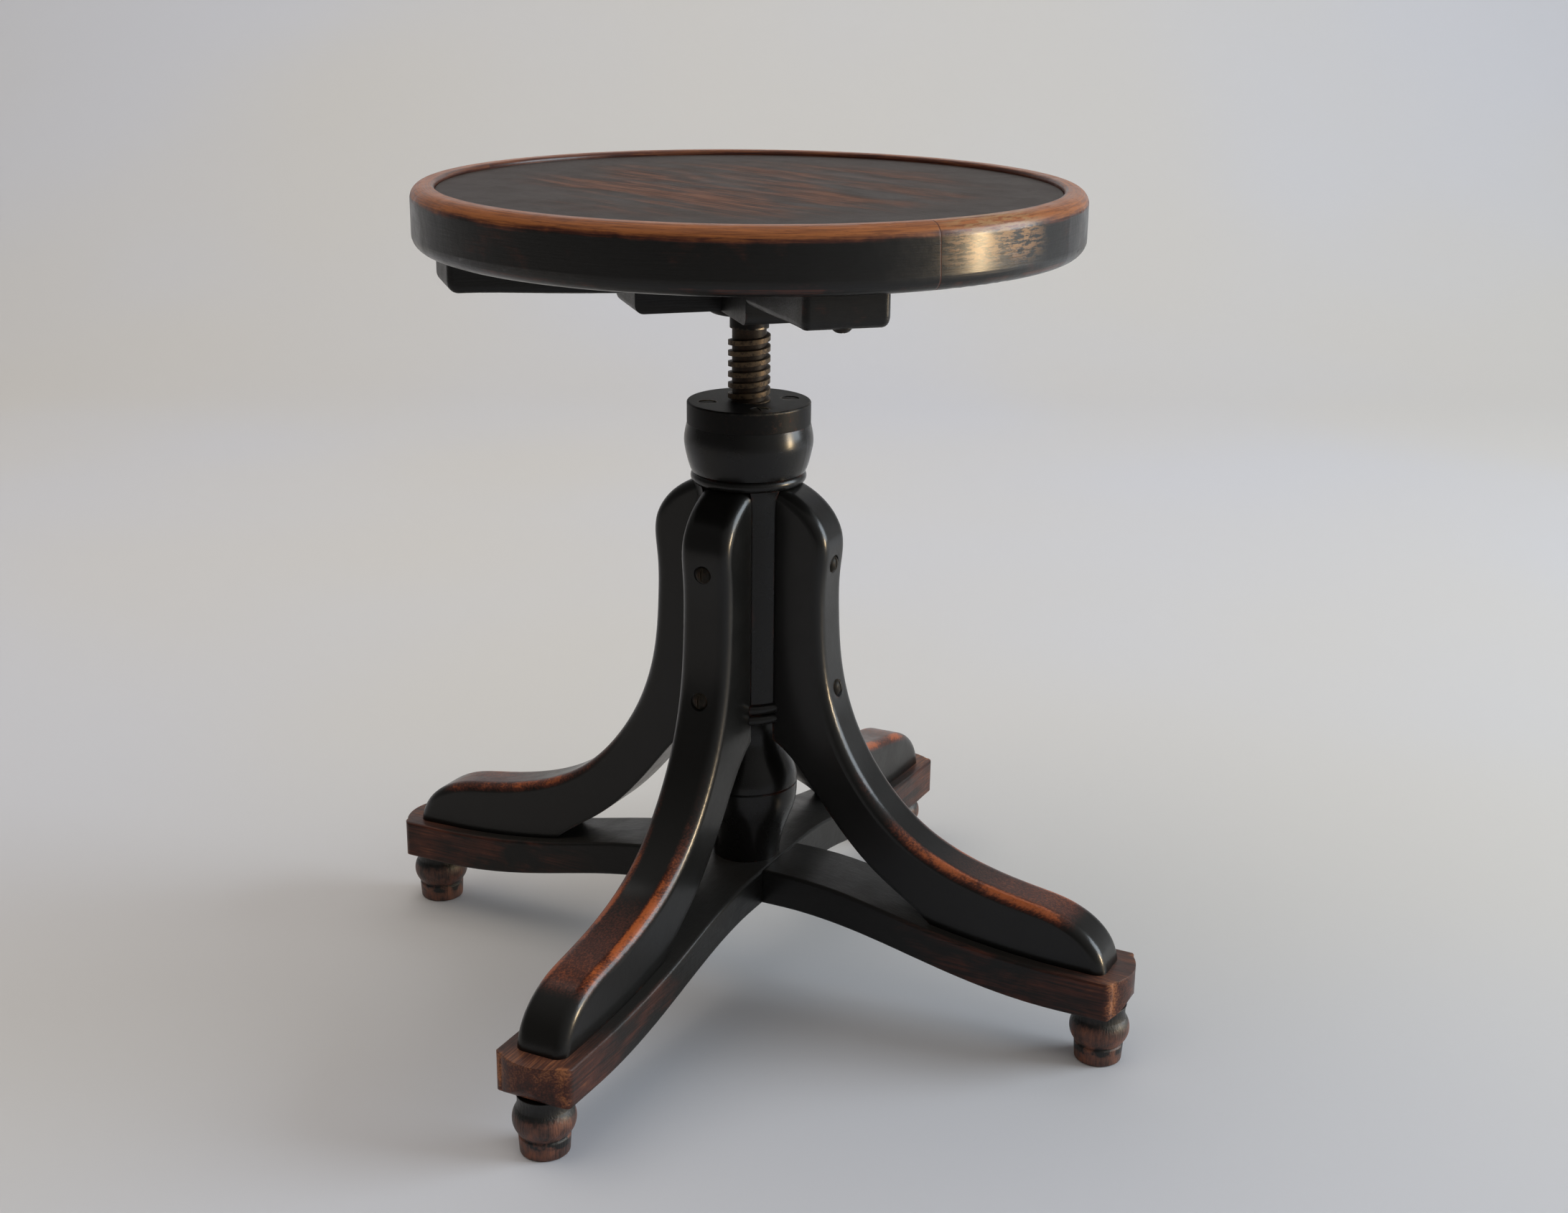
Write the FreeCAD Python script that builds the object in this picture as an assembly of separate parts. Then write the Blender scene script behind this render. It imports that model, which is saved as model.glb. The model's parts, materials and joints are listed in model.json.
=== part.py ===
import FreeCAD, Part
import math
import os
from FreeCAD import Vector

os.makedirs("parts", exist_ok=True)

# Revolving stool of ebonised wood: a round seat on an iron screw, a turned column,
# four sawn legs and a crossed base on four turned feet.
# Millimetres. The origin is on the floor, on the axis of the column, with +Z up.
# The base arms lie along X and Y. The seat is drawn about a quarter of the way up its travel.

# Turned feet
foot_circle = 443.4
foot_height = 34.0
foot_bottom_radius = 13.1
foot_body_radius = 13.7
foot_body_height = 12.0
foot_bead_radius = 16.6
foot_bead_height = 14.4
foot_neck_radius = 14.4
foot_neck_waist = 0.6
foot_edge_round = 1.5
foot_groove_height = 10.7
foot_groove_depth = 0.8
foot_tenon_radius = 7.0
foot_tenon_length = 15.0
foot_tenon_gap = 0.05
foot_tenon_end_gap = 0.5

# Crossed base arms
arm_overhang = 17.3
arm_width = 45.0
arm_hub_depth = 21.0
arm_end_depth = 22.5
arm_rise = 22.5
arm_hub_length = 64.0
arm_seat_length = 34.0
arm_end_fall = 0.6
arm_top_sag = 0.43
arm_under_sag = 0.48
arm_bow = 5.5
arm_corner_round = 5.0
arm_under_round = 10.0
arm_arris_round = 1.8
lap_gap = 0.1

# Turned column, from its shoulder on the arms upwards
column_height = 258.5
vase_foot_radius = 19.5
vase_radius = 29.4
vase_height = 45.0
vase_line_depth = 0.7
neck_radius = 22.0
neck_height = 43.7
neck_flare = 1.6
bead_radius = 31.0
bead_height = 6.4
bead_quirk = 2.9
shaft_radius = 28.6
flare_radius = 31.0
flare_height = 22.0
ring_radius = 32.4
ring_height = 6.2
ring_quirk = 2.0
head_foot_radius = 31.8
head_radius = 36.0
head_height = 27.0
tenon_radius = 13.0
tenon_gap = 0.1
tenon_short = 1.0
wedge_thickness = 3.2
wedge_length = 15.0
wedge_inset = 0.5

# Sawn legs
leg_thickness = 30.0
leg_housing_depth = 4.6
leg_housing_gap = 0.1
leg_top_inset = 4.0
leg_shoulder_width = 29.6
leg_shoulder_drop = 25.5
leg_waist_width = 28.8
leg_waist_drop = 46.5
leg_toe_inset = 25.0
leg_toe_depth = 30.0
leg_toe_overrun = 5.5
leg_toe_slant = 12.5
leg_crotch_drop = 146.0
leg_seat_reach = 127.0
leg_let_in = 2.0
leg_arris_round = 6.5

# Nut plate on the column
plate_radius = 34.4
plate_thickness = 12.1
plate_edge_round = 1.0
plate_hole_inset = 10.9
plate_hole_heading = 41.7
nut_radius = 17.0
nut_depth = 20.0
nut_gap = 0.1

# Iron screw
thread_pitch = 5.9
thread_crest_radius = 11.7
thread_root_radius = 9.5
thread_crest_width = 2.7
thread_root_width = 3.4
thread_gap = 0.3
neck_length = 2.6
shank_radius = 7.0
shank_gap = 0.05
rivet_radius = 9.6
rivet_height = 3.0
rivet_slope = 2.0
rivet_room = 0.6

# Travel of the seat, in turns of the screw
turns_up = 17.9
turns_down = 6.3
top_clearance = 0.6
bottom_clearance = 3.43
bore_radius = 14.5
bore_floor_clearance = 14.0

# Loose washer and the bolt that holds it to the foot of the screw
washer_thickness = 3.0
washer_edge_gap = 1.5
washer_gap = 0.08
washer_play = 0.3
bolt_shoulder_radius = 6.0
bolt_thread_radius = 4.0
bolt_thread_length = 16.0
bolt_gap = 0.05
bolt_head_radius = 9.0
bolt_head_height = 5.0
bolt_slot_width = 2.0
bolt_slot_depth = 2.0

# Iron flange under the seat
flange_radius = 23.0
flange_thickness = 4.8
flange_round = 2.9
boss_radius = 10.8
boss_length = 8.5
flange_screw_inset = 7.0

# Crossed battens under the seat
seat_heading = 43.6
batten_width = 44.0
batten_inset = 13.5
batten_middle_depth = 32.0
batten_middle_length = 138.0
batten_shoulder_depth = 21.2
batten_end_depth = 17.8
batten_corner_round = 6.0
batten_step_round = 4.8
batten_arris_round = 3.5

# Seat rim and panel
seat_radius = 180.0
rim_height = 33.0
rim_width = 33.0
rim_land = 13.0
rim_crown_round = 7.0
rim_lip_round = 2.0
rim_foot_round = 8.0
panel_recess = 2.8
panel_thickness = 6.0
panel_gap = 0.25

# Fasteners
leg_screw_head_radius = 4.8
leg_screw_head_height = 2.2
leg_screw_seat_depth = 0.8
leg_screw_shank_radius = 2.3
leg_screw_length = 35.0
leg_screw_upper_drop = 41.5
leg_screw_lower_drop = 113.6
arm_screw_head_radius = 4.6
arm_screw_shank_radius = 2.3
arm_screw_length = 38.0
arm_screw_inner_reach = 152.0
arm_screw_outer_reach = 190.0
plate_screw_head_radius = 5.0
plate_screw_shank_radius = 2.3
plate_screw_length = 30.0
flange_screw_head_radius = 3.6
flange_screw_shank_radius = 1.7
flange_screw_length = 18.0
batten_screw_head_radius = 5.2
batten_screw_head_height = 2.6
batten_screw_shank_radius = 2.3
batten_screw_inset = 10.5
batten_screw_length = 30.0
batten_screw_seat_depth = 0.3
screw_sink = 0.4
slot_width = 1.0
slot_depth = 1.0

# How far a cutting shape runs past the face that it opens
past = 1.0

# How far a level edge may stray, when an edge is picked by where it lies
stray = 0.01

# Heights and reaches that follow from the sizes above, from the floor upwards
foot_reach = foot_circle / 2
arm_reach = foot_reach + arm_overhang
arm_end_top = foot_height + arm_end_depth
hub_top = arm_end_top + arm_rise
hub_bottom = hub_top - arm_hub_depth
hub_middle = (hub_top + hub_bottom) / 2
vase_top = hub_top + vase_height
neck_top = vase_top + neck_height
shaft_foot = neck_top + 2 * bead_height
column_top = hub_top + column_height
head_foot = column_top - head_height
ring_bottom = head_foot - ring_height
leg_top = ring_bottom - leg_housing_gap
leg_back = shaft_radius - leg_housing_depth
leg_crotch = leg_top - leg_crotch_drop
leg_toe_reach = foot_reach - leg_toe_inset
plate_top = column_top + plate_thickness
nut_bottom = column_top - nut_depth
travel_up = turns_up * thread_pitch
travel_down = turns_down * thread_pitch
boss_bottom = plate_top + travel_down + bottom_clearance
thread_top = boss_bottom - neck_length
washer_top = nut_bottom - travel_up - top_clearance
washer_bottom = washer_top - washer_thickness
washer_radius = bore_radius - washer_edge_gap
thread_bottom = washer_top + washer_play
bolt_head_top = washer_bottom - washer_play
bolt_bottom = bolt_head_top - bolt_head_height
bore_floor = bolt_bottom - travel_down - bore_floor_clearance
flange_bottom = boss_bottom + boss_length
batten_bottom = flange_bottom + flange_thickness
rim_bottom = batten_bottom + batten_middle_depth
seat_top = rim_bottom + rim_height
rim_bore = seat_radius - rim_width
batten_reach = seat_radius - batten_inset
batten_screw_reach = rim_bore + batten_screw_inset
panel_radius = seat_radius - rim_land - panel_gap
panel_top = seat_top - panel_recess
panel_bottom = panel_top - panel_thickness

up = Vector(0, 0, 1)
centre = Vector(0, 0, 0)


def at(reach, height):
    """A point in the upright plane through the axis."""
    return Vector(reach, 0, height)


def line(start, end):
    return Part.LineSegment(start, end).toShape()


def arc(start, via, end):
    return Part.Arc(start, via, end).toShape()


def curve(points, start_run=None, end_run=None):
    """A smooth curve through points, leaving and arriving along the runs when they are given."""
    spline = Part.BSplineCurve()
    if start_run is None:
        spline.interpolate(Points=points)
    else:
        spline.interpolate(Points=points, InitialTangent=start_run, FinalTangent=end_run)
    return spline.toShape()


def turned(edges):
    """A solid turned about the column's axis from a closed outline."""
    face = Part.Face(Part.Wire(Part.__sortEdges__(edges)))
    return face.revolve(centre, up, 360)


def cylinder(radius, bottom, top, reach=0.0):
    return Part.makeCylinder(radius, top - bottom, Vector(reach, 0, bottom))


def block(size_x, size_y, bottom, top):
    """A box centred on the axis."""
    return Part.makeBox(size_x, size_y, top - bottom, Vector(-size_x / 2, -size_y / 2, bottom))


def turn(shape, degrees):
    copy = shape.copy()
    copy.rotate(centre, up, degrees)
    return copy


def ease(radius):
    """How far the middle of a quarter round stands back from its corner."""
    return radius * (1 - math.sqrt(0.5))


def save(name, shape):
    shape.exportStep("parts/" + name + ".step")
    print(name, "solids", len(shape.Solids), "valid", shape.isValid(), "cm3", round(shape.Volume / 1000, 2))


def dome_screw(head_radius, head_height, shank_radius, length):
    """A round-headed slotted screw: the head stands on z = 0 and the shank runs down."""
    top = at(0, head_height)
    rim = at(head_radius, 0)
    via_angle = math.radians(50)
    via = at(head_radius * math.sin(via_angle), head_height * math.cos(via_angle))
    point = at(0, -length)
    neck = at(shank_radius, 0)
    shoulder = at(shank_radius, shank_radius * 1.5 - length)
    screw = turned([arc(top, via, rim), line(rim, neck), line(neck, shoulder), line(shoulder, point),
                    line(point, top)])
    return screw.cut(block(2 * head_radius + past, slot_width, head_height - slot_depth, head_height + past))


def flat_screw(head_radius, shank_radius, length):
    """A countersunk slotted screw: the head's face is at z = 0 and the shank runs down."""
    top = at(0, 0)
    rim = at(head_radius, 0)
    neck = at(shank_radius, shank_radius - head_radius)
    shoulder = at(shank_radius, shank_radius * 1.5 - length)
    point = at(0, -length)
    screw = turned([line(top, rim), line(rim, neck), line(neck, shoulder), line(shoulder, point),
                    line(point, top)])
    return screw.cut(block(2 * head_radius + past, slot_width, -slot_depth, past))


def countersink(head_radius, shank_radius, length):
    """The hole for a flat_screw, open above its head."""
    mouth = Part.makeCylinder(head_radius, past, centre)
    cone = Part.makeCone(shank_radius, head_radius, head_radius - shank_radius,
                         Vector(0, 0, shank_radius - head_radius))
    shank = Part.makeCylinder(shank_radius, length, Vector(0, 0, -length))
    return mouth.fuse([cone, shank])


def upside_down(shape):
    copy = shape.copy()
    copy.rotate(centre, Vector(1, 0, 0), 180)
    return copy


def moved(shape, x, y, z):
    copy = shape.copy()
    copy.translate(Vector(x, y, z))
    return copy


def around(shape, count, start=0.0):
    """Copies of a shape spaced evenly round the axis."""
    return [turn(shape, start + step * 360.0 / count) for step in range(count)]


def all_round(shapes, count):
    """Copies of each of several shapes spaced evenly round the axis."""
    return [copy for shape in shapes for copy in around(shape, count)]


def between(start, end, share_x, share_z):
    """A point a share of the way from start to end, with its own share for the height."""
    return at(start.x + (end.x - start.x) * share_x, start.z + (end.z - start.z) * share_z)


# Base arms: a sawn board that sags from the hub to its two ends
def arm_edge(hub, middle, end):
    """One long edge of the arm's side, from the hub to the seat of the foot."""
    hub_end = arm_hub_length / 2
    seat_start = arm_reach - arm_seat_length
    return [at(hub_end, hub), at((hub_end + seat_start) / 2, middle), at(seat_start, end)]


def arm_side():
    top = arm_edge(hub_top, arm_end_top + (hub_top - arm_end_top) * arm_top_sag, arm_end_top + arm_end_fall)
    under = arm_edge(hub_bottom, foot_height + (hub_bottom - foot_height) * arm_under_sag, foot_height)
    top_end = at(arm_reach, arm_end_top)
    under_end = at(arm_reach - arm_under_round, foot_height)
    nose = at(arm_reach, foot_height + arm_under_round)
    nose_via = at(arm_reach - ease(arm_under_round), foot_height + ease(arm_under_round))
    level = Vector(1, 0, 0)
    half = [
        line(at(0, hub_top), top[0]),
        curve(top, level, top_end - top[2]),
        line(top[2], top_end),
        line(top_end, nose),
        arc(nose, nose_via, under_end),
        line(under_end, under[2]),
        curve(list(reversed(under)), level * -1, level * -1),
        line(under[0], at(0, hub_bottom)),
        line(at(0, hub_bottom), at(0, hub_top)),
    ]
    return Part.Face(Part.Wire(half))


def arm_plan():
    """The arm seen from above: parallel sides, a bowed end and eased corners."""
    side = arm_width / 2
    bow_start = arm_reach - arm_bow
    side_end = bow_start - arm_corner_round
    corner = side - arm_corner_round
    turn_x = bow_start - ease(arm_corner_round)
    turn_y = side - ease(arm_corner_round)
    edges = [
        line(Vector(0, -side, 0), Vector(side_end, -side, 0)),
        arc(Vector(side_end, -side, 0), Vector(turn_x, -turn_y, 0), Vector(bow_start, -corner, 0)),
        arc(Vector(bow_start, -corner, 0), Vector(arm_reach, 0, 0), Vector(bow_start, corner, 0)),
        arc(Vector(bow_start, corner, 0), Vector(turn_x, turn_y, 0), Vector(side_end, side, 0)),
        line(Vector(side_end, side, 0), Vector(0, side, 0)),
        line(Vector(0, side, 0), Vector(0, -side, 0)),
    ]
    return Part.Face(Part.Wire(edges)).extrude(up * (hub_top + past))


def half_arm():
    board = arm_side().extrude(Vector(0, arm_width, 0))
    board.translate(Vector(0, -arm_width / 2, 0))
    shortest = arm_hub_length / 4
    across = [edge for edge in board.Edges if edge.BoundBox.YLength < stray]
    arrises = [edge for edge in across if edge.BoundBox.XLength > shortest]
    return board.makeFillet(arm_arris_round, arrises).common(arm_plan())


def whole_arm():
    """Both halves of a base arm before it is lapped and bored."""
    half = half_arm()
    return half.fuse(turn(half, 180)).removeSplitter()


arm_blank = whole_arm()


def arm_at(reach):
    """The lowest and highest point of the arm at a distance from the axis."""
    box = arm_blank.common(line(at(reach, 0), at(reach, hub_top + past))).BoundBox
    return box.ZMin, box.ZMax


# Legs: a sawn board with a knuckle under the ring, a long sweep and a blunt toe on the arm
def leg_outer_points():
    """The show edge of the leg, from the ring over the shoulder and down the sweep to the toe."""
    start = at(ring_radius - leg_top_inset, leg_top)
    shoulder = at(leg_back + leg_shoulder_width, leg_top - leg_shoulder_drop)
    waist = at(leg_back + leg_waist_width, shoulder.z - leg_waist_drop)
    toe = at(leg_toe_reach, arm_end_top + leg_toe_depth)
    crown = [between(start, shoulder, 0.40, 0.21), between(start, shoulder, 0.73, 0.50)]
    under_shoulder = between(shoulder, waist, 0.63, 0.48)
    shares = [(0.020, 0.224), (0.086, 0.443), (0.200, 0.633), (0.398, 0.821), (0.690, 0.940), (0.875, 0.976)]
    sweep = [between(waist, toe, x, z) for x, z in shares]
    return [start] + crown + [shoulder, under_shoulder, waist] + sweep + [toe]


def leg_inner_points():
    """The hollow edge of the leg, from the column down to where the leg sits on its arm."""
    crotch = at(leg_back, leg_crotch)
    seat = at(leg_seat_reach, arm_at(leg_seat_reach)[1] - leg_let_in)
    shares = [(0.15, 0.13), (0.28, 0.30), (0.45, 0.52), (0.66, 0.73), (0.85, 0.87)]
    return [crotch] + [between(crotch, seat, x, z) for x, z in shares] + [seat]


def leg_side():
    """The leg's outline; its lower end runs into the arm, whose shape is then cut out of it."""
    outer = leg_outer_points()
    inner = leg_inner_points()
    toe_bottom, toe_top = arm_at(foot_reach)
    seat_bottom, seat_top_height = arm_at(leg_seat_reach)
    toe_tip = at(foot_reach + leg_toe_overrun, (toe_top * 3 + toe_bottom) / 4)
    toe_via = at(toe_tip.x - leg_toe_slant, arm_end_top + leg_toe_depth * 0.70)
    toe_foot = at(toe_tip.x, (toe_top + toe_bottom) / 2)
    seat_foot = at(leg_seat_reach, (seat_top_height + seat_bottom) / 2)
    head = at(leg_back, leg_top)
    edges = [
        line(head, outer[0]),
        curve(outer + [toe_via, toe_tip]),
        line(toe_tip, toe_foot),
        line(toe_foot, seat_foot),
        line(seat_foot, inner[-1]),
        curve(list(reversed(inner))),
        line(inner[0], head),
    ]
    return Part.Face(Part.Wire(edges))


def leg_blank():
    board = leg_side().extrude(Vector(0, leg_thickness, 0))
    board.translate(Vector(0, -leg_thickness / 2, 0))
    across = [edge for edge in board.Edges if edge.BoundBox.YLength < stray]
    arrises = [edge for edge in across if edge.BoundBox.XMax > foot_reach and edge.BoundBox.ZMax > leg_crotch]
    return board.makeFillet(leg_arris_round, arrises)


leg_body = leg_blank().cut(arm_blank)


def leg_screw_seat(drop):
    """The point on the leg's outer edge where a screw head sits, a drop below the leg's top."""
    height = leg_top - drop
    face = leg_body.common(line(at(leg_back + past, height), at(foot_reach, height))).BoundBox.XMax
    return at(face - leg_screw_seat_depth, height)


def leg_screw_at(seat):
    screw = dome_screw(leg_screw_head_radius, leg_screw_head_height,
                       leg_screw_shank_radius, leg_screw_length)
    screw.rotate(centre, Vector(0, 1, 0), 90)
    screw.translate(seat)
    return screw


def leg_screw_hole(seat):
    pocket = Part.makeCylinder(leg_screw_head_radius + screw_sink, leg_shoulder_width, seat, Vector(1, 0, 0))
    shank = Part.makeCylinder(leg_screw_shank_radius, leg_screw_length, seat, Vector(-1, 0, 0))
    return pocket.fuse(shank)


def into_arm(shape, reach):
    """Turn a countersunk shape head down and sink it into the arm's underside."""
    return moved(upside_down(shape), reach, 0, arm_at(reach)[0] + screw_sink)


arm_screw_reaches = [arm_screw_inner_reach, arm_screw_outer_reach]
leg_screw_seats = [leg_screw_seat(drop) for drop in (leg_screw_upper_drop, leg_screw_lower_drop)]
leg_screw_holes = [leg_screw_hole(seat) for seat in leg_screw_seats]
arm_screw_hole = countersink(arm_screw_head_radius, arm_screw_shank_radius, arm_screw_length)
arm_screw_holes = [into_arm(arm_screw_hole, reach) for reach in arm_screw_reaches]
leg = leg_body.cut(leg_screw_holes + arm_screw_holes)
for step, name in enumerate(["leg_right", "leg_back", "leg_left", "leg_front"]):
    save(name, turn(leg, 90 * step))

save("leg_screws", Part.makeCompound(all_round([leg_screw_at(seat) for seat in leg_screw_seats], 4)))
arm_screw = flat_screw(arm_screw_head_radius, arm_screw_shank_radius, arm_screw_length)
arm_screws = [into_arm(arm_screw, reach) for reach in arm_screw_reaches]
save("arm_screws", Part.makeCompound(all_round(arm_screws, 4)))


# Base arms, lapped across each other at the hub and bored for the column and the feet
def finished_arm(lap):
    foot_bore = cylinder(foot_tenon_radius + foot_tenon_gap, foot_height - past,
                         foot_height + foot_tenon_length + foot_tenon_end_gap, foot_reach)
    hub_bore = cylinder(tenon_radius + tenon_gap, hub_bottom - past, hub_top + past)
    return arm_blank.cut([lap, hub_bore] + all_round([foot_bore] + arm_screw_holes, 2))


lap_length = arm_width + 2 * lap_gap
lap_above = block(lap_length, arm_width + past, hub_middle, hub_top + past)
lap_below = block(lap_length, arm_width + past, hub_bottom - past, hub_middle)
save("base_arm_cross", finished_arm(lap_above))
save("base_arm_long", turn(finished_arm(lap_below), 90))


# Turned feet with a tenon into the arm
def foot():
    body_top = foot_body_height
    bead_top = body_top + foot_bead_height
    groove = foot_groove_height
    groove_radius = foot_bottom_radius + (foot_body_radius - foot_bottom_radius) * groove / body_top
    floor_edge = at(foot_bottom_radius - foot_edge_round, 0)
    floor_via = at(foot_bottom_radius - ease(foot_edge_round), ease(foot_edge_round))
    side_start = at(foot_bottom_radius, foot_edge_round)
    groove_low = at(groove_radius, groove - foot_groove_depth)
    groove_deep = at(groove_radius - foot_groove_depth, groove)
    groove_high = at(groove_radius, groove + foot_groove_depth)
    body_end = at(foot_body_radius, body_top)
    bead_end = at(foot_neck_radius, bead_top)
    neck_end = at(foot_neck_radius, foot_height)
    tenon_foot = at(foot_tenon_radius, foot_height)
    tenon_end = at(foot_tenon_radius, foot_height + foot_tenon_length)
    tenon_middle = at(0, foot_height + foot_tenon_length)
    edges = [
        line(at(0, 0), floor_edge),
        arc(floor_edge, floor_via, side_start),
        line(side_start, groove_low),
        line(groove_low, groove_deep),
        line(groove_deep, groove_high),
        line(groove_high, body_end),
        arc(body_end, at(foot_bead_radius, (body_top + bead_top) / 2), bead_end),
        arc(bead_end, at(foot_neck_radius - foot_neck_waist, (bead_top + foot_height) / 2), neck_end),
        line(neck_end, tenon_foot),
        line(tenon_foot, tenon_end),
        line(tenon_end, tenon_middle),
        line(tenon_middle, at(0, 0)),
    ]
    return moved(turned(edges), foot_reach, 0, 0)


for step, name in enumerate(["foot_right", "foot_back", "foot_left", "foot_front"]):
    save(name, turn(foot(), 90 * step))


# Column: tenon, vase, neck, two beads, shaft with housings for the legs, ring and rounded head
def bead(foot, top, crest):
    """A half-round bead from one point to another above it, out to a crest radius."""
    return arc(foot, at(crest, (foot.z + top.z) / 2), top)


def column_outline():
    tenon_bottom = hub_bottom + tenon_short
    vase_rise = vase_radius - vase_foot_radius
    vase = [at(vase_foot_radius, hub_top),
            at(vase_foot_radius + vase_rise * 0.14, hub_top + vase_height * 0.22),
            at(vase_foot_radius + vase_rise * 0.67, hub_top + vase_height * 0.57),
            at(vase_radius, vase_top)]
    line_deep = at(vase_radius - vase_line_depth, vase_top + vase_line_depth)
    line_high = at(vase_radius, vase_top + 2 * vase_line_depth)
    neck_fall = vase_radius - neck_radius
    neck = [line_high, at(vase_radius - neck_fall * 0.35, vase_top + neck_height * 0.275),
            at(neck_radius, vase_top + neck_height / 2), at(neck_radius + neck_flare, neck_top)]
    bead_foot = at(bead_radius - bead_quirk, neck_top)
    bead_split = at(bead_foot.x, neck_top + bead_height)
    bead_top = at(bead_foot.x, shaft_foot)
    shaft_top = at(shaft_radius, ring_bottom - flare_height)
    ring_foot = at(ring_radius - ring_quirk, ring_bottom)
    ring_top = at(ring_foot.x, head_foot)
    head_swell = head_radius - head_foot_radius
    head = [at(head_foot_radius, head_foot),
            at(head_foot_radius + head_swell * 0.69, head_foot + head_height * 0.33),
            at(head_radius, head_foot + head_height * 0.63), at(plate_radius, column_top)]
    return [
        line(at(0, tenon_bottom), at(tenon_radius, tenon_bottom)),
        line(at(tenon_radius, tenon_bottom), at(tenon_radius, hub_top)),
        line(at(tenon_radius, hub_top), vase[0]),
        curve(vase, Vector(0.05, 0, 1), up),
        line(vase[3], line_deep),
        line(line_deep, line_high),
        curve(neck, up, Vector(0.6, 0, 1)),
        line(neck[3], bead_foot),
        bead(bead_foot, bead_split, bead_radius),
        bead(bead_split, bead_top, bead_radius),
        line(bead_top, at(shaft_radius, shaft_foot)),
        line(at(shaft_radius, shaft_foot), shaft_top),
        curve([shaft_top, at(flare_radius, ring_bottom)], up, Vector(0.5, 0, 1)),
        line(at(flare_radius, ring_bottom), ring_foot),
        bead(ring_foot, ring_top, ring_radius),
        line(ring_top, head[0]),
        curve(head, Vector(0.55, 0, 1), Vector(-0.25, 0, 1)),
        line(head[3], at(0, column_top)),
        line(at(0, column_top), at(0, tenon_bottom)),
    ]


def leg_housing_cut():
    """The flat-bottomed housing for a leg, which runs out below over the neck."""
    width = leg_thickness + 2 * leg_housing_gap
    floor = leg_back - leg_housing_gap
    bottom = min(leg_crotch, neck_top) - past
    corner = Vector(floor, -width / 2, bottom)
    return Part.makeBox(ring_radius - floor + past, width, ring_bottom - bottom, corner)


def column():
    nut_bore = cylinder(nut_radius + nut_gap, nut_bottom - past, column_top + past)
    screw_bore = cylinder(bore_radius, bore_floor, column_top)
    wedge_slot = block(2 * tenon_radius + past, wedge_thickness, hub_bottom, wedge_top)
    leg_cuts = all_round([leg_housing_cut()] + leg_screw_holes, 4)
    return turned(column_outline()).cut([nut_bore, screw_bore, wedge_slot] + plate_screw_holes + leg_cuts)


def into_plate(shape):
    """Sink a countersunk shape into the nut plate's top."""
    sunk = moved(shape, plate_radius - plate_hole_inset, 0, plate_top - screw_sink)
    return around(sunk, 4, plate_hole_heading)


wedge_bottom = hub_bottom + tenon_short
wedge_top = wedge_bottom + wedge_length
plate_screw_hole = countersink(plate_screw_head_radius, plate_screw_shank_radius, plate_screw_length)
plate_screw_holes = into_plate(plate_screw_hole)
save("column", column())
save("tenon_wedge", block(2 * (tenon_radius - wedge_inset), wedge_thickness, wedge_bottom, wedge_top))


# Screw thread: a square-shouldered ridge that climbs one pitch in a turn
def thread_ridge(bottom, top, gap):
    """The ridge between two heights, thickened all round by gap."""
    inner = thread_root_radius - past / 2
    outer = thread_crest_radius + gap
    inner_half = thread_root_width / 2 + gap
    outer_half = thread_crest_width / 2 + gap
    helix = Part.makeHelix(thread_pitch, top - bottom, inner)
    helix.translate(Vector(0, 0, bottom))
    profile = Part.makePolygon([at(inner, bottom - inner_half), at(outer, bottom - outer_half),
                                at(outer, bottom + outer_half), at(inner, bottom + inner_half),
                                at(inner, bottom - inner_half)])
    return Part.Wire(helix.Edges).makePipeShell([profile], True, True)


def spindle():
    """The iron screw: threaded stem, plain neck and the shank that is riveted over the flange."""
    ridge = thread_ridge(thread_bottom + thread_root_width / 2, thread_top - thread_root_width / 2, 0)
    stem = cylinder(thread_root_radius, thread_bottom, boss_bottom)
    shank = cylinder(shank_radius, boss_bottom - past, batten_bottom)
    rivet = Part.makeCone(rivet_radius, rivet_radius - rivet_slope, rivet_height, Vector(0, 0, batten_bottom))
    bolt_bore = cylinder(bolt_thread_radius + bolt_gap, thread_bottom - past,
                         thread_bottom + bolt_thread_length + past)
    return stem.fuse([shank, rivet, ridge]).cut(bolt_bore)


save("spindle", spindle())


# Stop: a loose washer under the screw's foot, which meets the nut at the top of the travel
washer_bore = cylinder(bolt_shoulder_radius + washer_gap, washer_bottom - past, washer_top + past)
save("stop_washer", cylinder(washer_radius, washer_bottom, washer_top).cut(washer_bore))


def stop_bolt():
    """The bolt in the screw's foot: slotted head, shoulder through the washer and threaded end."""
    head = cylinder(bolt_head_radius, bolt_bottom, bolt_head_top)
    shoulder = cylinder(bolt_shoulder_radius, bolt_bottom + past, thread_bottom)
    thread = cylinder(bolt_thread_radius, bolt_bottom + past, thread_bottom + bolt_thread_length)
    slot = block(2 * bolt_head_radius + past, bolt_slot_width,
                 bolt_bottom - past, bolt_bottom + bolt_slot_depth)
    return head.fuse([shoulder, thread]).cut(slot)


save("stop_bolt", stop_bolt())


# Nut plate: an iron disc with a threaded nut that hangs into the column
def rim_edge(disc, radius, height):
    """The outer circle of a disc at a height."""
    level = [edge for edge in disc.Edges if edge.BoundBox.ZLength < stray]
    at_height = [edge for edge in level if abs(edge.BoundBox.ZMin - height) < stray]
    return [edge for edge in at_height if edge.BoundBox.XLength > radius]


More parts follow.
